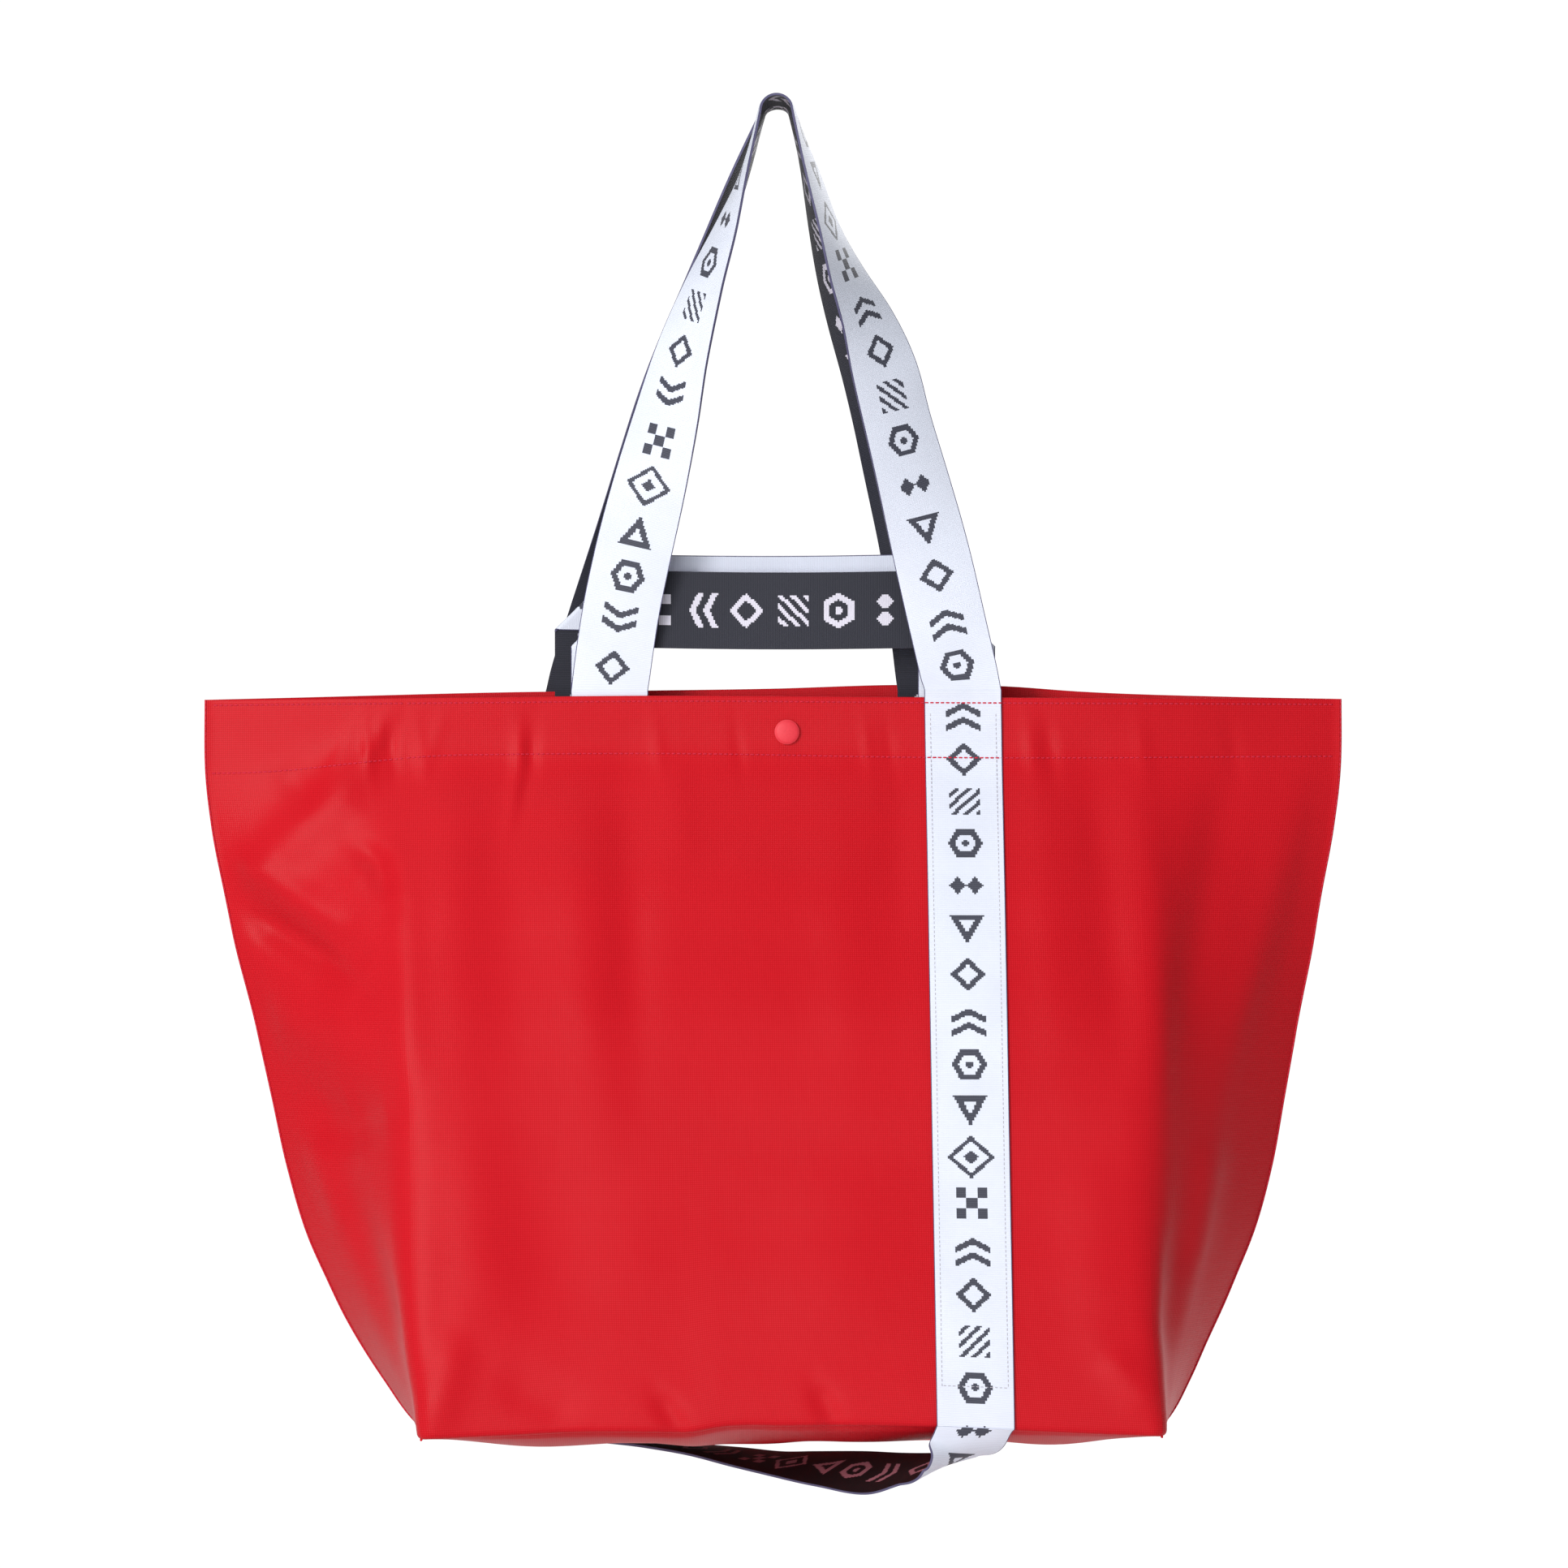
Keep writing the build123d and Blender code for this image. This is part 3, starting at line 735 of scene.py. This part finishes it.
for end, endName in ((-1, "left"), (1, "right")):
    arcs = np.linspace(end * halfLength, end * nearSeam, 58)
    sideCloth = clothSheet(f"{endName}FrontCloth", arcs, frontSide, clothMaterials)
    gussetBend(sideCloth, end)
    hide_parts(f"{endName}_front_side", f"{endName}_front_hem_facing")

backCloth = clothSheet("backCloth", np.linspace(-nearSeam, nearSeam, 221), backSide, clothMaterials)
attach(backCloth, "bag")
backNodes = ["back_panel", "back_hem_facing"]
backNodes += [f"{endName}_back_{part}" for endName in ("left", "right") for part in ("side", "hem_facing")]
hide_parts(*backNodes)
print("cloth made")

# Base
base = {"sag": 14.0, "columns": 121, "rows": 69, "thickness": 0.9}


def makeBase(look):
    # spans from the front's lower edge to the back's, and sags most in the middle
    inset = shape["edgeBend"]
    arcs = np.linspace(-halfLength, halfLength, look["columns"])
    across = np.linspace(0, 1, look["rows"])[:, None]
    edges = []
    for side in (frontSide, backSide):
        edge = clothPoint(arcs, np.full(len(arcs), bagHeight - inset), side, layer=inset)
        edge[:, 2] -= inset
        edges.append(edge)
    front, back = edges
    outer = front[None] * (1 - across[..., None]) + back[None] * across[..., None]
    hang = np.sqrt(np.clip(1 - (2 * across - 1) ** 2, 0, 1)) ** 1.2
    hang = hang * (1 - np.abs(arcs[None] / halfLength) ** 4)
    ripple = 1 + 0.12 * np.sin(arcs[None] / 31 + across * 5) + 0.08 * np.sin(arcs[None] / 17 - across * 7)
    outer[..., 2] -= look["sag"] * hang * ripple
    inner = outer + np.array([0, 0, look["thickness"]])
    width = across * 2 * halfWidth
    piece = solidGrid("baseCloth", outer, inner, width, arcs[None], clothMaterials)
    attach(piece, "bag")
    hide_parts("base_panel")


makeBase(base)

# Seams
seams = {
    "width": 1.6, "thickness": 1.9, "insideEdge": 0.2, "overlap": 0.4, "stitchOut": 0.4, "stitchSink": 0.1,
    "baseThickness": 1.8, "baseOverlap": 1.2, "baseDrop": 4.2, "baseShort": 3.0,
}


def roundedStrip(name, path, outward, acrossAxis, thickness, node):
    # a strip of rounded section carried along the path, standing outward from it
    width = seams["width"]
    turn = np.linspace(0, 2 * pi, 15)[:-1]
    sectionOut = (0.5 + 0.5 * np.sign(np.cos(turn)) * np.abs(np.cos(turn)) ** 0.7) * width
    sectionAcross = 0.5 * np.sign(np.sin(turn)) * np.abs(np.sin(turn)) ** 0.7 * thickness
    section = outward * sectionOut[:, None] + acrossAxis * sectionAcross[:, None]
    points = path[:, None] + section[None]
    rows, cols = points.shape[:2]
    i, j = np.meshgrid(np.arange(rows - 1), np.arange(cols), indexing="ij")
    ahead = (j + 1) % cols
    quads = np.stack([i, i, i + 1, i + 1], -1) * cols + np.stack([j, ahead, ahead, j], -1)
    faces = quads.reshape(-1, 4)
    direction = np.sum(np.cross(points[0, 1] - points[0, 0], path[1] - path[0]) * outward)
    if direction < 0:
        faces = faces[:, ::-1]
    caps = [list(range(cols)), list(range(rows * cols - 1, (rows - 1) * cols - 1, -1))]
    if direction < 0:
        caps = [cap[::-1] for cap in caps]
    mesh = addMesh(name, points.reshape(-1, 3), faces.tolist() + caps[::-1], 60)
    layer = mesh.uv_layers.new(name="weave")
    lengths = lengthAlong(path)
    uv = np.stack(np.broadcast_arrays((turn * 1.2)[None], lengths[:, None]), -1).reshape(-1, 2)
    corners = np.zeros(len(mesh.loops), np.int32)
    mesh.loops.foreach_get("vertex_index", corners)
    layer.data.foreach_set("uv", uv[corners].ravel().astype(np.float32))
    piece = addObject(name, mesh, [clothRed])
    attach(piece, "bag")
    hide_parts(node)


for end, endName in ((-1, "left"), (1, "right")):
    drops = np.linspace(0, bagHeight - 1, 200)
    edge = clothPoint(np.full(200, end * (halfGirth - seams["insideEdge"])), drops, backSide)
    edge[:, 1] = 0
    outward = np.array([end, 0.0, 0.0])
    path = edge - outward * seams["overlap"]
    across = np.array([0.0, 1.0, 0.0])
    roundedStrip(f"{endName}SideSeam", path, outward, across, seams["thickness"], f"{endName}_side_seam")
    for stitchSide, sideName in ((frontSide, "Front"), (backSide, "Back")):
        depth = stitchSide * (seams["thickness"] / 2 - seams["stitchSink"])
        line = edge + outward * seams["stitchOut"] + np.array([0, depth, 0])
        normals = np.tile([0.0, stitchSide * 1.0, 0.0], (200, 1))
        run = stitchRun(f"{endName}SideSeam{sideName}Stitches", line, normals, redThread)
        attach(run, "bag")

    depths = np.linspace(seams["baseShort"] - halfWidth, halfWidth - seams["baseShort"], 60)
    corner = clothPoint(end * halfLength, bagHeight - shape["edgeBend"], frontSide)
    line = np.stack([np.full(60, corner[0]), depths, np.full(60, corner[2] - seams["baseDrop"])], -1)
    path = line - outward * seams["baseOverlap"]
    across = np.array([0.0, 0.0, 1.0])
    roundedStrip(f"{endName}BaseSeam", path, outward, across, seams["baseThickness"], f"{endName}_base_seam")
print("base and seams made")

# Webbing
webbing = {
    "width": 50.0, "thickness": 1.5, "columns": 41,
    "pitch": 30.0, "motifs": (0, 3, 4, 2, 6, 5, 3, 0, 1, 4, 7, 2),
}
# where each length starts in the run of motifs
motifStart = {
    "frontLongHandle": 0.0, "backLongHandle": 120.0, "panelStrap": -900.0, "tail": 0.0,
    "frontShortHandle": 40.0, "backShortHandle": 95.0,
}
# each side of the bag: its name, the body it moves with, and the name of its short handle's body
panels = (
    (frontSide, "front", "front", "front_short_handle"),
    (backSide, "back", "bag", "back_short_handle"),
)


def bendRoot(piece):
    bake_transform(piece)


def motifAt(across, along):
    # plain shapes in a row, one to each pitch: hollow diamonds, chevrons, hexagons, triangles and checks
    pitch = webbing["pitch"]
    cell = np.floor(along / pitch).astype(int)
    kind = np.array(webbing["motifs"])[cell % len(webbing["motifs"])]
    x = along - (cell + 0.5) * pitch
    y = across
    diamond = np.abs(x) / 11.5 + np.abs(y) / 11.5
    hexagon = np.maximum(np.abs(x) / 10, (np.abs(x) / 2 + np.abs(y) * 0.87) / 10)
    spire = (x > -10) & (np.abs(y) < 0.56 * (10 - x))
    spireHollow = (x > -6.2) & (np.abs(y) < 0.56 * (10 - x) - 4.4)
    chevron = np.minimum(np.abs(x + 5 - np.abs(y) * 0.5), np.abs(x - 4 - np.abs(y) * 0.5))
    inBox = (np.abs(x) < 10) & (np.abs(y) < 10.5)
    check = (np.floor((x + 10.5) / 7).astype(int) + np.floor((y + 10.5) / 7).astype(int)) % 2 == 0
    hatch = (np.mod(x + y, 8) < 3.6) & inBox
    big = np.abs(x) / 14 + np.abs(y) / 15.5
    shapes = [
        (diamond < 1) & (diamond > 0.58),
        hatch,
        spire & ~spireHollow,
        (chevron < 2.1) & (np.abs(y) < 10.8),
        ((hexagon < 1) & (hexagon > 0.62)) | (np.hypot(x, y) < 2.4),
        check & (np.abs(x) < 10.5) & (np.abs(y) < 10.5),
        ((big < 1) & (big > 0.74)) | (big < 0.32),
        (np.abs(x) / 6 + np.abs(np.abs(y) - 5.6) / 5.4) < 1,
    ]
    return np.select([kind == number for number in range(len(shapes))], shapes, False).astype(float)


def bandFromEdges(name, points, width, start, flip=1, reverse=None):
    # webbing on a grid of points (rows along, columns across), thick towards the side away from its face
    thickness = webbing["thickness"]
    down = np.gradient(points, axis=0)
    over = np.gradient(points, axis=1)
    normal = unit(np.cross(over, down)) * flip
    outer = points + normal * thickness / 2
    inner = points - normal * thickness / 2
    along = start + lengthAlong(points[:, points.shape[1] // 2])
    faceAlong = (along[1:] + along[:-1]) / 2
    faceAcross = (width[1:] + width[:-1]) / 2
    motif = motifAt(faceAcross[None], faceAlong[:, None])
    materials = [webbingFace, reverse or webbingReverse]
    return solidGrid(name, outer, inner, along[:, None], width[None], materials, motif)


widths = np.linspace(-webbing["width"] / 2, webbing["width"] / 2, webbing["columns"])
halfBand = webbing["thickness"] / 2
longHandle = {
    "inside": 106.0, "outside": 123.0, "baseAt": 130.0, "archRadius": 10.2, "archLean": 17.0, "split": 2.0,
    "rise": 6.0, "insideDepth": 3.0, "outsideDepth": -0.9, "archDrift": 2.5, "archNod": 0.12,
}
legShapes = {
    # share of the way up, sideways bow, and degrees of turn towards side-on, for each leg
    "frontRight": ([0, 0.1, 0.217, 0.357, 0.467, 0.55, 0.634, 0.717, 0.8, 0.884, 1],
                   [0, 2.6, 5.7, 8.4, 9.9, 11.5, 10.6, 6, 3.1, 2, 0],
                   [0, 2, 6, 19, 29, 33, 46, 59, 71, 78, 90]),
    "frontLeft": ([0, 0.08, 0.134, 0.217, 0.357, 0.467, 0.578, 0.69, 0.8, 0.912, 1],
                  [0, 3.6, 5.6, 7.2, 8, 8.3, 8.8, 6.2, 1.8, 0, 0],
                  [0, 1, 3, 8, 19, 30, 45, 60, 71, 83, 90]),
    "backRight": ([0, 0.1, 0.217, 0.44, 0.55, 0.634, 0.8, 1],
                  [0, 5, 10, 9, 6, 3, 1, 0],
                  [0, 8, 20, 46, 56, 64, 78, 90]),
    "backLeft": ([0, 0.2, 0.4, 0.6, 0.8, 1],
                 [0, 0, 3, 6, 3, 0],
                 [0, 18, 40, 60, 76, 90]),
}


def legPath(footX, footY, side, form, rows):
    # one leg from just above the hem up to the arch: straight in space, bowed sideways, turning side-on
    share = np.linspace(0, 1, rows)
    lean = radians(longHandle["archLean"])
    topX = longHandle["archRadius"] * cos(lean)
    topZ = longHandle["archRadius"] * sin(lean) - longHandle["archRadius"] + halfBand
    footZ = mouthZ + longHandle["rise"]
    x = footX + (topX - footX) * share + throughKnots(share, form[0], form[1])
    y = footY + (longHandle["split"] + webbing["width"] / 2 - footY) * smooth(share * 0.5 + 0.5 * share**2)
    z = footZ + (topZ - footZ) * share
    turn = np.radians(throughKnots(share, form[0], form[2]))
    return x, side * y, z, turn


def longHandlePoints(side, footLeft, footRight, formLeft, formRight):
    # left leg upward, half a turn over the arch, right leg downward
    yLeft, yRight = footLeft[1], footRight[1]
    left = legPath(footLeft[0], yLeft, side, formLeft, 400)
    right = legPath(footRight[0], yRight, side, formRight, 400)
    lean = radians(longHandle["archLean"])
    angle = np.linspace(pi - lean, lean, 30)[1:-1]
    radius = longHandle["archRadius"]
    archY = np.full(len(angle), side * (longHandle["split"] + webbing["width"] / 2))
    x = np.concatenate([-left[0], radius * np.cos(angle), right[0][::-1]])
    y = np.concatenate([left[1], archY, right[1][::-1]])
    z = np.concatenate([left[2], radius * np.sin(angle) - radius + halfBand, right[2][::-1]])
    turn = np.concatenate([left[3], np.full(len(angle), pi / 2), right[3][::-1]])
    z = np.minimum(z, longHandle["archRadius"])
    x = x + longHandle["archDrift"] * smooth((z + 120) / 120)
    path = np.stack([x, y, z], -1)
    travel = unit(np.gradient(path, axis=0))
    travel[0], travel[-1] = travel[1], travel[-2]
    flat = unit(np.stack([travel[:, 2], np.zeros(len(x)), -travel[:, 0]], -1))
    upright = smooth((mouthZ + longHandle["rise"] + 24 - z) / 24)[:, None]
    level = np.sign(travel[:, 2:3]) * np.array([1.0, 0, 0])
    flat = unit(flat * (1 - upright) + level * upright)
    nod = np.array([0, side, -side * longHandle["archNod"]])
    across = flat * np.cos(turn)[:, None] + nod * np.sin(turn)[:, None]
    across = unit(across - travel * np.sum(across * travel, axis=1, keepdims=True) * (1 - upright))
    return path, across, travel


def makeLongHandle(sideName, side, footLeft, footRight):
    name = f"{sideName}LongHandle"
    formLeft, formRight = legShapes[f"{sideName}Left"], legShapes[f"{sideName}Right"]
    path, across, travel = longHandlePoints(side, footLeft, footRight, formLeft, formRight)
    points = path[:, None] + across[:, None] * widths[None, :, None]
    share = np.linspace(0, 1, len(path))
    depth = 1.6 * smooth(share / 0.12) * smooth((1 - share) / 0.12)
    normal = unit(np.cross(across, travel))
    wave = 0.9 * np.sin(share * 2 * pi * 5 + 0.6) * smooth(share / 0.1) * smooth((1 - share) / 0.1)
    bow = depth[:, None] * (1 - (widths / widths[-1]) ** 2)[None]
    points = points + normal[:, None] * (bow + wave[:, None] * (widths / widths[-1])[None])[..., None]
    piece = bandFromEdges(name, points, widths, motifStart[name], flip=-side)
    bendRoot(piece)
    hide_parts(f"{sideName}_long_handle")


insideFoot = (longHandle["inside"], mouthGap - longHandle["insideDepth"])
outsideFoot = (longHandle["outside"], mouthGap - longHandle["outsideDepth"])
makeLongHandle("front", frontSide, insideFoot, outsideFoot)
makeLongHandle("back", backSide, outsideFoot, insideFoot)


def strapMiddle(below, side):
    # the strap drifts outward on its way down the panel
    spread = (longHandle["baseAt"] - longHandle["outside"]) * below / bagHeight
    return -side * (longHandle["outside"] + spread)


def sewnBand(name, side, middle, drops, depthIn, foot, start, node):
    # webbing sewn to the cloth: it follows the cloth below the mouth and runs straight up above it
    below = np.maximum(drops, 0.0)
    arcs = middle[:, None] + widths[None] - throughKnots(below, *shape["drift"])[:, None]
    points = clothPoint(arcs, below[:, None], side, lift=-depthIn)
    ease = smooth(-drops / longHandle["rise"])[:, None]
    points[..., 1] = points[..., 1] * (1 - ease) + side * foot[1] * ease
    settle = smooth((drops - 10) / 120)[:, None]
    lifted = clothPoint(arcs, below[:, None], side)[..., 2]
    points[..., 2] = (mouthZ - drops[:, None]) * (1 - settle) + lifted * settle
    piece = bandFromEdges(name, points, widths, start, flip=side)
    bendRoot(piece)
    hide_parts(node)
    return start + lengthAlong(points[:, len(widths) // 2])[-1]


rootDrops = np.linspace(-longHandle["rise"], 0, 7)[:-1]
strapDrops = np.concatenate([rootDrops, np.linspace(0, bagHeight - 1.5, 470)])
tailDrops = np.linspace(-longHandle["rise"], shape["hemDepth"] - 2, 46)
for side, sideName, body, upper in panels:
    # the strap under the base takes its motifs up where the back strap, made last, ends
    strapEnd = sewnBand(
        f"{sideName}PanelStrap", side, strapMiddle(np.maximum(strapDrops, 0.0), side), strapDrops,
        longHandle["outsideDepth"], outsideFoot, motifStart["panelStrap"],
        f"{sideName}_panel_strap",
    )
    sewnBand(
        f"{sideName}LongHandleTail", side, np.full(len(tailDrops), side * longHandle["inside"]), tailDrops,
        longHandle["insideDepth"], insideFoot, motifStart["tail"],
        f"{sideName}_long_handle_tail",
    )

# Short handles
shortHandle = {
    "front": {"legs": (-106.0, 119.0), "rise": 32.0},
    "back": {"legs": (-117.0, 107.0), "rise": 43.0},
    "lean": 5.0, "depth": 5.0, "legStart": 3.0, "bend": 0.95,
}


def makeShortHandle(side, sideName, body, upper):
    # a band folded back at 45 degrees at each top corner: beyond the fold line it is the mirror of itself
    own = shortHandle[sideName]
    left, right = own["legs"]
    corner = own["rise"] + webbing["width"] / 2  # height of the fold's middle above the mouth
    bend = shortHandle["bend"]
    half = (right - left) / 2 + corner + pi * bend / sqrt(2)
    tail = shape["hemDepth"] - 3
    along = np.linspace(-tail, half, 190)[:, None]
    across = widths[None]
    fold = (along - corner - across) / sqrt(2)  # distance past the fold line
    curl = np.clip(fold / bend, 0, pi)
    reach = np.where(fold < 0, fold, np.where(fold < pi * bend, bend * np.sin(curl), pi * bend - fold))
    behind = bend * (1 - np.cos(curl))
    footX = across + fold / sqrt(2)
    footZ = along - fold / sqrt(2)
    localX = footX - reach / sqrt(2)
    localZ = footZ + reach / sqrt(2)
    halves = []
    for end, origin in ((1, left), (-1, right)):
        x = origin + end * localX
        z = localZ + 1.6 * np.sin((x - left) / (right - left) * pi) * -smooth(localZ / 40)
        lean = radians(shortHandle["lean"]) * np.maximum(z - shortHandle["legStart"], 0)
        y = mouthGap - shortHandle["depth"] - behind - lean + 0.5 * np.sin(x / 23) * smooth(z / 30)
        halves.append(np.stack([x, side * y, mouthZ + z], -1))
    points = np.concatenate([halves[0], halves[1][-2::-1]])
    name = f"{sideName}ShortHandle"
    piece = bandFromEdges(name, points, widths, motifStart[name], flip=-side)
    bendRoot(piece)
    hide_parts(f"{sideName}_short_handle", f"{sideName}_short_handle_tails")


for panel in panels:
    makeShortHandle(*panel)

# Slack strap under the base
slack = {
    "turnShare": 0.25,
    "joinShare": 0.06,
    # share of the way from front to back, height above the base, and degrees that the front edge hangs lower
    "share": [0, 0.02, 0.065, 0.127, 0.2, 0.33, 0.463, 0.54, 0.64, 0.75, 0.9, 0.97, 1],
    "height": [5, -3, -11, -15, -19, -17.5, -15, -13.5, -10, -7.5, -4, -2, 5],
    "roll": [0, 12, 19, 24, 29, 24, 14, 8, 3, 0, 0, 0, 0],
}


def makeUnderStrap(look):
    # runs slanting from the front strap to the back strap, hanging lowest about a fifth of the way
    share = np.linspace(0, 1, 380)
    reach = 1 - 2 * share
    x = longHandle["baseAt"] * reach
    y = -(halfWidth + 0.1 + halfBand) * reach
    z = baseZ + throughKnots(share, look["share"], look["height"])
    path = np.stack([x, y, z], -1)
    travel = unit(np.gradient(path, axis=0))
    travel[0], travel[-1] = (0, 0, -1), (0, 0, 1)
    ends = np.minimum(np.minimum(share, 1 - share) / look["turnShare"], 1)
    turn = (pi / 2 - atan2(halfWidth, longHandle["baseAt"])) * smooth(ends)
    roll = np.radians(throughKnots(share, look["share"], look["roll"]))
    across = np.stack([np.cos(turn) * np.cos(roll), np.sin(turn) * np.cos(roll), np.sin(roll)], -1)
    along = travel * np.sum(across * travel, axis=1, keepdims=True)
    across = unit(across - along * smooth(ends * 6)[:, None])
    points = path[:, None] + across[:, None] * widths[None, :, None]
    for side, end, away in ((frontSide, 0, share), (backSide, -1, 1 - share)):
        arcs = -side * longHandle["baseAt"] + widths - throughKnots(bagHeight, *shape["drift"])
        sewn = clothPoint(arcs, np.full(len(arcs), strapDrops[-1]), side, lift=-longHandle["outsideDepth"])
        points = points + (sewn - points[end])[None] * (1 - smooth(away / look["joinShare"]))[:, None, None]
    piece = bandFromEdges("underStrap", points, widths, strapEnd, flip=-1, reverse=webbingShaded)
    end = (0, -(halfWidth - 12) * mm, (baseZ - 8) * mm)
    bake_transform(piece)
    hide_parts("under_strap")


makeUnderStrap(slack)
print("webbing made")

# Stitching
stitching = {
    # the hem's rows: drop of each, how much lower the low row runs at the left, and lift off cloth and webbing
    "topRow": 3.6, "lowRow": 38.0, "leftDrop": 9.0, "onCloth": 0.3, "onStrap": 1.75, "strapHalf": 25.5,
    # the strap's rows: distance out from its middle, lift, first drop and end above the base
    "rowHalf": 21.2, "crossHalf": 21.0, "strapLift": 1.72, "strapLiftAbove": 2.7, "firstDrop": 10.0,
    "aboveBase": 28.0,
}


def clothStitches(name, arcs, drops, side, lift):
    points = clothPoint(arcs, drops, side, lift=lift)
    above = clothPoint(arcs, drops, side, lift=lift + 1)
    return stitchRun(name, points, above - points, redThread)


def topRowDrop(arcs):
    return np.full(len(arcs), stitching["topRow"])


def lowRowDrop(arcs):
    return stitching["lowRow"] + stitching["leftDrop"] * smooth((-arcs - 200) / 150) + 1.0 * np.sin(arcs / 90)


sideArcs = np.linspace(halfLength + 1.6, halfGirth - 4, 120)
hemRuns = (
    (frontSide, "front", np.linspace(-halfLength, halfLength, 400)),
    (backSide, "back", np.linspace(-halfGirth + 4, halfGirth - 4, 600)),
    (frontSide, "left", -sideArcs),
    (frontSide, "right", sideArcs),
)
for rowName, dropAt in (("Top", topRowDrop), ("Low", lowRowDrop)):
    for side, placeName, arcs in hemRuns:
        # over the strap the stitches lie on the webbing
        clear = np.abs(arcs + side * longHandle["outside"]) > stitching["strapHalf"]
        lifts = np.where(clear, stitching["onCloth"], stitching["onStrap"])
        run = clothStitches(f"{placeName}Hem{rowName}Stitches", arcs, dropAt(arcs), side, lifts)
        if placeName in ("left", "right"):
            gussetBend(run, np.sign(arcs[0]))
        else:
            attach(run, "front" if placeName == "front" else "bag")


def strapStitches(name, side, arcs, drops, body):
    points = clothPoint(arcs, drops, side, lift=stitching["strapLift"])
    normals = clothPoint(arcs, drops, side, lift=stitching["strapLiftAbove"]) - points
    run = stitchRun(name, points, normals, paleThread, pitch=3.0, length=1.9, radius=0.26)
    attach(run, body)


lastDrop = bagHeight - stitching["aboveBase"]
for side, sideName, body, _ in panels:
    drops = np.linspace(stitching["firstDrop"], lastDrop, 400)
    middle = strapMiddle(drops, side) - throughKnots(drops, *shape["drift"])
    for edge, edgeName in ((-1, "Left"), (1, "Right")):
        arcs = middle + edge * stitching["rowHalf"]
        strapStitches(f"{sideName}Strap{edgeName}Stitches", side, arcs, drops, body)
    arcs = middle[-1] + np.linspace(-stitching["crossHalf"], stitching["crossHalf"], 60)
    strapStitches(f"{sideName}StrapCrossStitches", side, arcs, np.full(60, lastDrop), body)
print("stitches made")


# Press fastener's caps
def makeCap(name, side, body, node):
    # a shallow dome with a rolled rim, over the shank through the hem
    radius, height = snap["radius"], snap["height"]
    turn = np.linspace(0, pi / 2, 14)[1:]
    dome = [(radius * 0.93 * sin(t), height * (0.42 + 0.58 * cos(t))) for t in turn]
    roll = ((0.985, 0.36), (1.0, 0.24), (0.985, 0.1), (0.93, 0.0))
    rim = [(radius * wide, height * high) for wide, high in roll]
    thin, deep = snap["shankRadius"], -snap["shankLength"]
    profile = [(0, height)] + dome + rim + [(thin, 0.0), (thin, deep), (0, deep)]
    origin = (snap["x"], side * (mouthGap + 0.15), mouthZ - snap["drop"])
    piece = lathe(name, origin, (0, side, 0), profile[::-1], capPaint)
    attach(piece, body)
    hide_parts(node)


for side, sideName, body, _ in panels:
    makeCap(f"{sideName}SnapCap", side, body, f"{sideName}_snap_cap")
for nodeName in ("front_snap_socket", "front_snap_spring", "back_snap_stud"):
    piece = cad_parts[nodeName]
    piece.data.materials.clear()
    piece.data.materials.append(platedSteel)
print("press fastener made")
